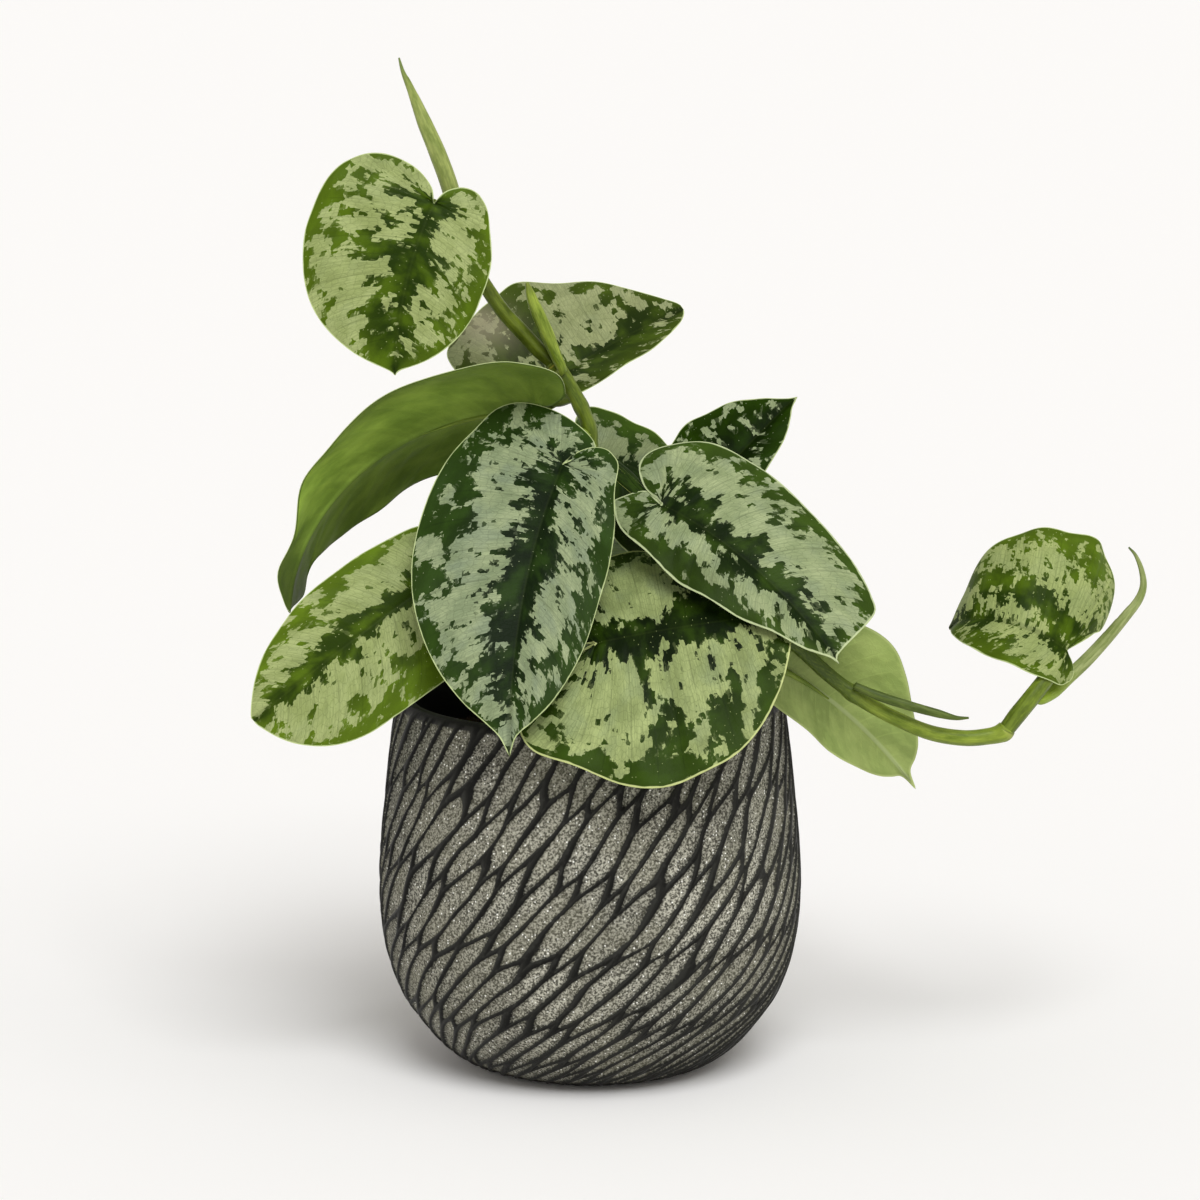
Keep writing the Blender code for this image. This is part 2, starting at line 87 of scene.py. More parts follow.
def lattice_noise(x, y, z, seed):
    """Smooth value noise, about -1 to 1."""
    rng = np.random.default_rng(seed)
    table = rng.uniform(-1, 1, 4096)
    x, y, z = (np.asarray(v, float) for v in (x, y, z))
    xi, yi, zi = np.floor(x).astype(int), np.floor(y).astype(int), np.floor(z).astype(int)
    fx, fy, fz = x - xi, y - yi, z - zi
    fx, fy, fz = (f * f * (3 - 2 * f) for f in (fx, fy, fz))

    def at(a, b, c):
        return table[(a * 73 + b * 1259 + c * 2903 + a * b * 7 + b * c * 13) % 4096]

    out = 0
    for dx, wx in ((0, 1 - fx), (1, fx)):
        for dy, wy in ((0, 1 - fy), (1, fy)):
            for dz, wz in ((0, 1 - fz), (1, fz)):
                out = out + wx * wy * wz * at(xi + dx, yi + dy, zi + dz)
    return out


def make_mesh(name, points, faces, attributes=None, slots=None, smooth=True):
    """A mesh object from points in millimetres. attributes: name -> (n,) or (n, 3) values on the points."""
    mesh = bpy.data.meshes.new(name)
    mesh.from_pydata([tuple(p) for p in np.asarray(points, float) * MM], [], [tuple(int(i) for i in f) for f in faces])
    for key, values in (attributes or {}).items():
        values = np.asarray(values, np.float32)
        if values.ndim == 1:
            mesh.attributes.new(key, "FLOAT", "POINT").data.foreach_set("value", values)
        else:
            mesh.attributes.new(key, "FLOAT_VECTOR", "POINT").data.foreach_set("vector", values.ravel())
    if slots is not None:
        mesh.polygons.foreach_set("material_index", np.asarray(slots, np.int32))
    if smooth:
        mesh.polygons.foreach_set("use_smooth", np.ones(len(mesh.polygons), bool))
    mesh.update()
    obj = bpy.data.objects.new(name, mesh)
    bpy.context.scene.collection.objects.link(obj)
    return obj


# ================================================================ shader node helper
class Shader:
    """Builds one node material. Values may be numbers or sockets."""

    def __init__(self, name, **principled):
        self.mat = bpy.data.materials.new(name)
        self.mat.use_nodes = True
        self.tree = self.mat.node_tree
        self.bsdf = self.tree.nodes["Principled BSDF"]
        for key, value in principled.items():
            self.bsdf.inputs[key.replace("_", " ")].default_value = value

    def node(self, kind, **settings):
        node = self.tree.nodes.new(kind)
        for key, value in settings.items():
            setattr(node, key, value)
        return node

    def put(self, socket, value):
        if isinstance(value, bpy.types.NodeSocket):
            self.tree.links.new(value, socket)
        elif value is not None:
            socket.default_value = value

    def math(self, op, a, b=None, c=None, clamp=False):
        node = self.node("ShaderNodeMath", operation=op, use_clamp=clamp)
        for socket, value in zip(node.inputs, (a, b, c)):
            self.put(socket, value)
        return node.outputs[0]

    def add(self, a, b):
        return self.math("ADD", a, b)

    def sub(self, a, b):
        return self.math("SUBTRACT", a, b)

    def mul(self, a, b):
        return self.math("MULTIPLY", a, b)

    def vec(self, x, y, z=0.0):
        node = self.node("ShaderNodeCombineXYZ")
        for socket, value in zip(node.inputs, (x, y, z)):
            self.put(socket, value)
        return node.outputs[0]

    def split(self, v):
        node = self.node("ShaderNodeSeparateXYZ")
        self.put(node.inputs[0], v)
        return node.outputs

    def attr(self, name):
        return self.node("ShaderNodeAttribute", attribute_name=name)

    def step(self, x, lo, hi, a=0.0, b=1.0):
        node = self.node("ShaderNodeMapRange", interpolation_type="SMOOTHSTEP")
        for socket, value in zip(node.inputs, (x, lo, hi, a, b)):
            self.put(socket, value)
        return node.outputs[0]

    def noise(self, v, scale=1.0, detail=2.0, rough=0.5, distort=0.0):
        node = self.node("ShaderNodeTexNoise", noise_dimensions="3D")
        self.put(node.inputs["Vector"], v)
        node.inputs["Scale"].default_value = scale
        node.inputs["Detail"].default_value = detail
        node.inputs["Roughness"].default_value = rough
        node.inputs["Distortion"].default_value = distort
        return node.outputs["Fac"]

    def voronoi(self, v, scale=1.0, feature="F1", dims="2D", random=1.0, distance="EUCLIDEAN"):
        node = self.node("ShaderNodeTexVoronoi", voronoi_dimensions=dims, feature=feature, distance=distance)
        self.put(node.inputs["Vector"], v)
        node.inputs["Scale"].default_value = scale
        node.inputs["Randomness"].default_value = random
        return node

    def mix(self, fac, a, b, blend="MIX"):
        node = self.node("ShaderNodeMix", data_type="RGBA", blend_type=blend)
        self.put(node.inputs[0], fac)
        self.put(node.inputs[6], a)
        self.put(node.inputs[7], b)
        return node.outputs[2]

    def bump(self, height, strength=0.5, distance=0.0003):
        node = self.node("ShaderNodeBump")
        node.inputs["Strength"].default_value = strength
        node.inputs["Distance"].default_value = distance
        self.put(node.inputs["Height"], height)
        self.put(self.bsdf.inputs["Normal"], node.outputs[0])


# ================================================================ camera, floor and light
camera_data = bpy.data.cameras.new("camera")
camera_data.sensor_width = 36.0
camera_data.lens = 18.0 / math.tan(math.radians(17.8 / 2))
camera_data.clip_start, camera_data.clip_end = 0.05, 2000.0
camera = bpy.data.objects.new("camera", camera_data)
camera.location = (0.00344, -1.300, 0.380)
camera.rotation_euler = (math.radians(90 - 9.53), 0, 0)
bpy.context.scene.collection.objects.link(camera)
bpy.context.scene.camera = camera
bpy.context.scene.view_settings.view_transform = "Standard"

floor_shader = Shader("floor_white", Roughness=0.9)
floor_shader.bsdf.inputs["Base Color"].default_value = (0.962, 0.953, 0.944, 1)
floor_shader.bsdf.inputs["Specular IOR Level"].default_value = 0.0
floor = make_mesh("floor", [(-9e5, -9e5, 0), (9e5, -9e5, 0), (9e5, 9e5, 0), (-9e5, 9e5, 0)], [(0, 1, 2, 3)], smooth=False)
floor.data.materials.append(floor_shader.mat)

world = bpy.data.worlds.new("studio")
bpy.context.scene.world = world
world.use_nodes = True
background = world.node_tree.nodes["Background"]
background.inputs["Color"].default_value = (1.0, 0.97, 0.93, 1)
sky = world.node_tree
height = sky.nodes.new("ShaderNodeSeparateXYZ")
sky.links.new(sky.nodes.new("ShaderNodeTexCoord").outputs["Generated"], height.inputs[0])
low = sky.nodes.new("ShaderNodeMath")
low.operation, low.use_clamp = "SUBTRACT", True
low.inputs[0].default_value = 1.0
sky.links.new(height.outputs[2], low.inputs[1])
square = sky.nodes.new("ShaderNodeMath")
square.operation = "POWER"
sky.links.new(low.outputs[0], square.inputs[0])
square.inputs[1].default_value = 2.0
glow = sky.nodes.new("ShaderNodeMath")
glow.operation = "MULTIPLY_ADD"
sky.links.new(square.outputs[0], glow.inputs[0])
glow.inputs[1].default_value, glow.inputs[2].default_value = 0.60, 0.38
sky.links.new(glow.outputs[0], background.inputs["Strength"])


def lamp(name, azimuth, elevation, spread, power, colour=(1, 1, 1)):
    """A large far light: azimuth 0 is at the front (-Y), positive to the right."""
    light = bpy.data.lights.new(name, "SUN")
    light.angle = math.radians(spread)
    light.energy = power
    light.color = colour
    obj = bpy.data.objects.new(name, light)
    a, e = math.radians(azimuth), math.radians(elevation)
    direction = Vector((math.sin(a) * math.cos(e), -math.cos(a) * math.cos(e), math.sin(e)))
    obj.rotation_euler = direction.to_track_quat("Z", "Y").to_euler()
    bpy.context.scene.collection.objects.link(obj)


lamp("key_front", 12, 51, 34, 1.84, (0.965, 0.98, 1.0))
lamp("fill_left", -60, 50, 46, 0.04, (1.0, 0.97, 0.93))
lamp("fill_right", 46, 52, 50, 0.34, (1.0, 0.98, 0.95))


# ================================================================ the pot's and the soil's profiles
POT_HEIGHT = 129.0
RIM_OUTER_RADIUS = 66.6
RIM_INNER_RADIUS = 60.6
# (radius, height) down the outside of the belly, from under the rim to the foot
POT_BELLY = [
    (67.2, 126.0), (69.1, 113.5), (70.9, 97.0), (72.7, 79.0), (73.4, 65.0), (72.9, 52.0),
    (70.9, 39.0), (66.3, 26.0), (60.4, 17.0), (53.5, 8.6), (46.2, 3.0), (40.0, 0.7),
]
SOIL_TOP = 112.0
FOOT = SOIL_TOP + 1.3

# ================================================================ the plant: shape values in mm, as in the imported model
# Each leaf: base = where the stalk meets the blade, tip = end of the midrib, face = the way the
# upper side looks, arch = how far the midrib bends down (degrees), sway = how far it bends to the
# left-hand side, wl / wr = width of the left and right half (seen from above, tip ahead),
# lobe = reach of the heart lobe behind the stalk and wide = place of the full width, both as a
# part of the blade's length, end = fullness of the tip, fold / cup = angle of a half at the rib and
# how much it turns down by the margin (degrees), stalk = the route of the stalk up to the blade.
LEAVES = {
    "leaf_upper_left": dict(
        base=(-52, -15, 299), tip=(-65, -25, 242), face=(0.05, -1, 0.2), arch=20, sway=24,
        wl=26, wr=37, lobel=0.16, lober=0.15, wide=0.28, fold=5, cup=15, shr=0.06, trimr=[(-0.12, 0.12, -0.07), (0.15, 0.2, 0.02)], triml=[(-0.12, 0.2, -0.17)], endl=1.05, endr=0.7, acu=0.03),
    "leaf_upper_back": dict(
        base=(-18, 12, 232.6), tip=(33, 53, 257), face=(-0.1, -0.85, 0.5), arch=25,
        wl=42, wr=9.5, lobel=0.24, lober=0.08, widel=0.12, shl=0.12, triml=[(0.35, 0.1, 0.06), (0.03, 0.13, -0.08)], fold=5, cup=20, cupr=40, endl=0.1, endr=1.0, acu=0.0,
        stalk=[(-7.2, 3.3, 231), (-12, 9.5, 229), (-17.4, 12.8, 231.4)]),
    "leaf_left_arching": dict(
        base=(-18, -3, 228), tip=(-102, -22, 161), face=(-0.5, 0.5, 0.7), arch=95, arch_at=0.6,
        wl=35, wr=30, lobel=0.1, lober=0.06, widel=0.08, triml=[(0.8, 0.07, -0.36), (0.93, 0.05, 0.65)], trimr=[(0.8, 0.06, -0.2), (0.93, 0.055, 0.9)], shl=0.1, foldl=17, foldr=5, cup=25, endl=0.15, acu=0.02,
        stalk=[(-3.8, -2.4, 220.4), (-9.4, -4.6, 223), (-16.6, -4.2, 226.8)]),
    "leaf_front": dict(
        base=(-9, -25, 212), tip=(-26, -82, 124), face=(0, -0.84, 0.55), arch=25, sway=20,
        wl=25.8, wr=40, lobel=0.10, lober=0.20, wide=0.3, notchr=0.3, endr=0.4, endl=0.85, triml=[(0.0, 0.15, -0.16)], trimr=[(-0.06, 0.1, -0.05)],
        stalk=[(-0.6, -3.4, 200.0), (-3, -12, 205), (-8.6, -23, 210.6)]),
    "leaf_left_low": dict(
        base=(-50, -32, 175), tip=(-112, -48, 129), face=(0, -0.9, 0.4), arch=25,
        wl=31, wr=23, lobel=0.08, lober=0.15, widel=0.36, triml=[(0.45, 0.2, -0.05)], endl=1.1, endr=0.6, acu=0.0,
        stalk=[(-20, -8, FOOT), (-30, -15, 145), (-42, -24, 168), (-49, -30.6, 174.2)]),
    "leaf_right_front": dict(
        base=(24, -28, 199), tip=(82, -62, 151), face=(0.1, -0.8, 0.6), arch=30, sway=-16,
        wl=31.2, wr=22, lobel=0.22, lober=0.18, notchr=0.2, shr=-0.22, widel=0.24, endl=2.9, triml=[(0.73, 0.13, -0.06), (0.0, 0.24, 0.13), (0.95, 0.04, 0.15)],
        trimr=[(0.6, 0.25, -0.06), (0.79, 0.15, -0.13)], endr=0.5, acu=0.035,
        stalk=[(4.0, -2.6, 211.6), (10, -11, 208), (17, -19.5, 202.6), (23, -26.6, 198.6)]),
    "leaf_front_low": dict(
        base=(2, -58, 157), tip=(68, -52, 166), face=(0.05, -0.73, 0.66), arch=15,
        wl=38, wr=55, lobel=0.42, lober=0.46, wide=0.12, triml=[(0.2, 0.2, 0.12)], trimr=[(-0.3, 0.25, -0.05)], end=0.9, foldl=-12, cupl=10, foldr=0, cupr=12, acu=0.02,
        stalk=[(0, -22, FOOT), (-3, -38, 138), (0, -51, 152), (1.6, -56.6, 156.4)]),
    "leaf_centre_back": dict(
        base=(1, 16, 212), tip=(39.2, 28, 189.9), face=(0.0, -0.8, 0.6), arch=20, wl=18, wr=31, lobel=0.2, lober=0.06, wider=0.5,
        triml=[(0.4, 0.18, -0.07), (-0.14, 0.12, 0.1)], trimr=[(0.0, 0.28, -0.62)], cupr=24, stalk=[(3, 9, FOOT), (4.0, 16, 150), (2.0, 22, 196), (0.8, 17.8, 210.8)]),
    "leaf_right_back": dict(
        base=(38.4, 36, 191.8), tip=(73.8, 60, 225.3), face=(-0.3, -0.8, 0.4), arch=10, wl=24, wr=12, lobe=0.2,
        stalk=[(26, 18, FOOT), (31, 25, 150), (36.8, 33, 180), (38.2, 35.8, 190.2)]),
    "leaf_right_low": dict(
        base=(62.6, -28, 144.8), tip=(110.9, -25, 100.9), face=(0.1, 0.95, 0.2), arch=20, sway=20,
        wl=14, wr=24.5, trimr=[(0.3, 0.22, 0.19), (0.75, 0.18, -0.22)], lobel=0.06, lober=0.12, widel=0.45, wider=0.36, foldl=0, foldr=14, cup=14, end=0.9, acu=0.09,
        stalk=[(34, 2, FOOT), (42, -10, 131), (54, -22, 142), (61.0, -26.6, 144)]),
    "leaf_right_tip": dict(
        base=(161.4, -24, 148.5), tip=(123.2, -4, 152.2), face=(-0.2, -0.75, 0.65), arch=120,
        wl=15, wr=41.5, trimr=[(-0.1, 0.24, 0.1), (0.6, 0.2, -0.05)], lobel=0.12, lober=0.28, notchr=-0.16, wider=0.12, shr=0.12, endr=1.6, fold=8, cup=20),
    "leaf_rear_left": dict(
        base=(-34, 32, 171), tip=(-76, 80, 118), face=(-0.4, 0.5, 0.75), arch=45, sway=8,
        wl=30, wr=29, lobe=0.2, fold=8, cup=22,
        stalk=[(-20, 14, FOOT), (-27, 20, 145), (-32.8, 28, 165), (-34, 31.6, 169.6)]),
    "leaf_rear_centre": dict(
        base=(16, 44, 174), tip=(28, 104, 112), face=(0.05, 0.6, 0.8), arch=50, sway=-10,
        wl=25, wr=25, lobe=0.2, fold=8, cup=22,
        stalk=[(8, 24, FOOT), (10, 31, 145), (12.6, 40, 166), (15.4, 43.6, 173.2)]),
    "leaf_rear_right": dict(
        base=(45, 46, 160), tip=(77, 92, 106), face=(0.4, 0.5, 0.75), arch=45, sway=6,
        wl=26, wr=27, lobe=0.2, fold=8, cup=22,
        stalk=[(26, 34, FOOT), (34, 39, 138), (42, 45, 154), (44.6, 46, 158.6)]),
    "leaf_rear_low": dict(
        base=(-16, 46, 144), tip=(-24, 99, 86), face=(-0.1, 0.75, 0.65), arch=55, sway=-8,
        wl=25, wr=26, lobe=0.22, fold=8, cup=22,
        stalk=[(-10, 32, FOOT), (-13, 38, 130), (-15.6, 44, 141), (-16, 45.6, 142.8)]),
}

# Routes of the vines, from the soil. The leaf on a vine's end has its stalk on the same route.
VINE_UPPER = [
    (-2, 4, FOOT), (1.5, 6, 145), (2, 3.5, 185), (0.6, 0, 212), (-0.2, 0, 221), (-3, 0, 228.5),
    (-7.2, 0, 236), (-11.9, 0, 242.9), (-17.5, -1.2, 248.2), (-23.4, -3, 254.8), (-29.4, -5, 261.6), (-34.4, -7, 269.1),
    (-39.5, -8.5, 277.5), (-45, -9.8, 286.5), (-49.6, -11.6, 294.0), (-51.8, -13.4, 297.8),
]
VINE_UPPER_NODE = 7  # the ring where the end leaf's stalk and the bract start
VINE_RIGHT = [
    (14, 6, FOOT), (22, 0, 138.0), (40, -20, 158), (55, -35, 160), (68.9, -34, 152.1), (79.2, -34, 142.9),
    (88.3, -34, 135.7), (95.0, -34, 131.3), (104.2, -34, 126.5), (115.0, -34, 122.1), (126.2, -33, 120.1), (135.1, -32, 120.6),
    (139.5, -32, 121.9), (144.2, -31.8, 127.8), (149.0, -31, 133.7), (153.7, -29, 139.3), (157.7, -26.4, 144.0), (160.7, -23.6, 147.5),
]
VINE_RIGHT_NODE = 12

# Rolled new leaves and bracts: (route, radii along it)
SPEARS = {
    "new_leaf_upper": (
        [(-41.6, -2.4, 273.6), (-44.0, -2.4, 289), (-47.2, -3, 303), (-51.4, -4, 315), (-55.6, -4, 325), (-60.0, -4, 336),
         (-62.6, -4, 342), (-63.9, -4, 346.6)],
        [1.2, 2.7, 2.9, 2.8, 2.4, 1.3, 0.7, 0.3]),
    "new_leaf_right": (
        [(157.4, -22.4, 134.2), (162.6, -19.4, 138.2), (168.9, -18.4, 144.0), (175.6, -19.2, 151.8), (181.2, -21.0, 159.4),
         (185.6, -21.0, 165.3), (187.2, -21.0, 170.3), (186.4, -21.0, 175.7), (184.4, -21.0, 180.5), (182.0, -21.0, 183.3)],
        [1.0, 2.3, 2.2, 2.0, 1.8, 1.5, 1.2, 0.9, 0.6, 0.3]),
    "bract_upper": (
        [(-9.4, -4.0, 241.6), (-11.6, -4.6, 247.0), (-14.4, -5.6, 254), (-17.4, -6.4, 261), (-19.8, -6.8, 267), (-21.2, -7, 271.5)],
        [1.3, 1.6, 1.9, 1.8, 1.4, 0.5]),
    "bract_right": (
        [(88.7, -38.0, 138.9), (97.0, -38.4, 135.3), (106.9, -39, 132.2), (116.7, -39.4, 129.6), (122.7, -39.4, 128.2), (127.1, -39.2, 128.2)],
        [1.2, 1.6, 1.6, 1.4, 0.8, 0.35]),
}


def half_outline(lobe, wide, end, count, notch, shoulder, acu, trim=()):
    """Margin of one half from the stalk round the lobe to the tip, as (along / length, out / width).
    trim holds soft corrections of the width: (place along, reach, share)."""
    pts = [
        (0.0, 0.0), (-0.55 * lobe, 0.10 - notch), (-0.95 * lobe, 0.34 - 0.5 * notch), (-0.88 * lobe, 0.62 + shoulder),
        (-0.30 * lobe + 0.02, 0.87 + 0.5 * shoulder), (wide, 1.0),
    ]
    for t in (0.3, 0.52, 0.7, 0.84, 0.93):
        full = max(0.0, 1 - t ** (1.75 + 1.6 * end)) ** (0.88 - 0.18 * end)
        pts.append((wide + (1 - acu - wide) * t, full * (1 - 0.06 * t)))
    pts.append((1 - acu, 0.055 + 0.5 * acu))
    pts.append((1.0, 0.0))
    c = smooth_curve(pts, 60 * len(pts))
    for place, reach, share in trim:
        c[:, 1] *= 1 + share * np.exp(-(((c[:, 0] - place) / reach) ** 2))
    t = np.concatenate([[0], np.cumsum(np.hypot(np.diff(c[:, 0]), np.diff(c[:, 1]) * 0.33))])
    u = np.linspace(0, 1, count) * t[-1]
    return np.stack([np.interp(u, t, c[:, 0]), np.interp(u, t, c[:, 1])], 1)


class Blade:
    """A leaf blade as a bent surface. side -1 is the left half and +1 the right, from above, tip ahead."""

    def __init__(self, base, tip, face, arch=25, sway=0, twist=0, wl=30, wr=30, arch_at=0.5, fold=8, cup=20, wave=0.0, wave_n=2.5,
                 acu=0.06, stalk=None, **half):
        self.base, self.tip = np.array(base, float), np.array(tip, float)
        chord = np.linalg.norm(self.tip - self.base)
        t = (self.tip - self.base) / chord
        n = np.array(face, float)
        n = unit(n - t * (n @ t))
        b = np.cross(t, n)
        arch, sway, twist = math.radians(arch), math.radians(sway), math.radians(twist)
        s = np.linspace(0, 1, 81)
        weight = np.clip(1 + (arch_at - 0.5) * 4 * (s - 0.5), 0.05, None)
        part = np.concatenate([[0], np.cumsum((weight[1:] + weight[:-1]) / 2)])
        part /= part[-1]
        down, aside = -arch * part, sway * part
        heading = np.stack([np.cos(down) * np.cos(aside), -np.sin(aside) * np.cos(down), np.sin(down)], 1)
        rib = np.vstack([[0, 0, 0], np.cumsum((heading[1:] + heading[:-1]) / 2, axis=0)]) / 80
        end = rib[-1]
        yaw, pitch = math.atan2(end[1], end[0]), math.atan2(end[2], math.hypot(end[0], end[1]))
        rz = np.array([[math.cos(yaw), math.sin(yaw), 0], [-math.sin(yaw), math.cos(yaw), 0], [0, 0, 1]])
        ry = np.array([[math.cos(pitch), 0, math.sin(pitch)], [0, 1, 0], [-math.sin(pitch), 0, math.cos(pitch)]])
        turn = ry @ rz
        self.length = chord / np.linalg.norm(end)
        rib, heading = rib @ turn.T * self.length, heading @ turn.T
        up = np.stack([np.sin(arch * part), np.zeros(81), np.cos(arch * part)], 1) @ turn.T
        up -= heading * np.sum(up * heading, 1)[:, None]
        up /= np.linalg.norm(up, axis=1)[:, None]
        right = np.cross(heading, up)
        roll = twist * (s - 0.5)
        up = up * np.cos(roll)[:, None] + right * np.sin(roll)[:, None]
        axes = np.stack([t, b, n], 1)
        self.s, self.arch, self.acu, self.wave, self.wave_n = s, arch, acu, wave, wave_n
        self.rib, self.along, self.up = self.base + rib @ axes.T, heading @ axes.T, up @ axes.T
        self.width = {-1: wl, 1: wr}
        self.half = {}
        for side, letter in ((-1, "l"), (1, "r")):
            def pick(key, default):
                return half.get(key + letter, half.get(key, default))
            self.half[side] = dict(
                lobe=pick("lobe", 0.18), wide=pick("wide", 0.3), end=pick("end", 0.3), notch=pick("notch", 0.0),
                sh=pick("sh", 0.0), trim=pick("trim", ()), fold=math.radians(pick("fold", fold)), cup=math.radians(pick("cup", cup)))

    def frame(self, a):
        """Point, heading, right and up at part a of the rib; behind the base the rib's bend goes on."""
        a = np.asarray(a, float)
        x = np.clip(a, 0, 1)
        p, t, n = (np.stack([np.interp(x, self.s, v[:, i]) for i in range(3)], -1) for v in (self.rib, self.along, self.up))
        t /= np.linalg.norm(t, axis=-1)[..., None]
        n /= np.linalg.norm(n, axis=-1)[..., None]
        b = np.cross(t, n)
        back = np.minimum(a, 0)
        angle = -self.arch * back
        safe = np.where(np.abs(angle) < 1e-6, 1, angle)
        p = p + (t * np.sinc(angle / np.pi)[..., None] + n * ((1 - np.cos(angle)) / safe)[..., None]) * (back * self.length)[..., None]
        t2 = t * np.cos(angle)[..., None] + n * np.sin(angle)[..., None]
        n2 = n * np.cos(angle)[..., None] - t * np.sin(angle)[..., None]
        return p, t2, b, n2

    def point(self, side, along, out):
        along, out = np.asarray(along, float), np.asarray(out, float)
        p, t, b, n = self.frame(along)
        h = self.half[side]
        q = np.linspace(0, 1, 17)
        angle = h["fold"] - h["cup"] * out[..., None] * q
        x = trapezoid(np.cos(angle), q) * out * self.width[side]
        z = trapezoid(np.sin(angle), q) * out * self.width[side]
        z = z + self.wave * out**2 * np.sin(2 * math.pi * self.wave_n * along + (0 if side > 0 else 1.7))
        return p + side * x[..., None] * b + z[..., None] * n

    def grid(self, side, rows, cols, fan=0.26, bow=0.65):
        """Rows follow the side veins from the rib to the margin; the first rows fan out of the stalk's end."""
        h = self.half[side]
        o = half_outline(h["lobe"], h["wide"], h["end"], rows, h["notch"], h["sh"], self.acu, h["trim"])
        u = np.linspace(0, 1, rows)
        g = np.clip((u - fan) / (1 - fan), 0, 1)
        g = g * (0.75 + 0.25 * g)
        v = np.linspace(0, 1, cols)[None, :, None]
        start = np.stack([g, 0 * g], 1)[:, None, :]
        middle = np.stack([g + (1 - bow) * (o[:, 0] - g), bow * o[:, 1]], 1)[:, None, :]
        q = (1 - v) ** 2 * start + 2 * v * (1 - v) * middle + v**2 * o[:, None, :]
        return self.point(side, q[..., 0], q[..., 1]), q


# ================================================================ fine blades
ROWS, COLS = 104, 36


def column_places(cols):
    """Parts of the way from rib to margin: finer at both ends."""
    v = np.linspace(0, 1, cols - 1)
    v = 0.55 * v + 0.45 * (1 - np.cos(v * math.pi)) / 2
    v = v * 0.9915
    return np.append(v, 1.0)


def blobs_at(blobs, along, out):
    """Sum of soft spots (along, out, reach along, reach out, amount), in parts of the length and the half's width."""
    total = np.zeros(np.shape(along))
    for a, o, ra, ro, amount in blobs:
        total += amount * np.exp(-(((along - a) / ra) ** 2) - ((out - o) / ro) ** 2)
    return total


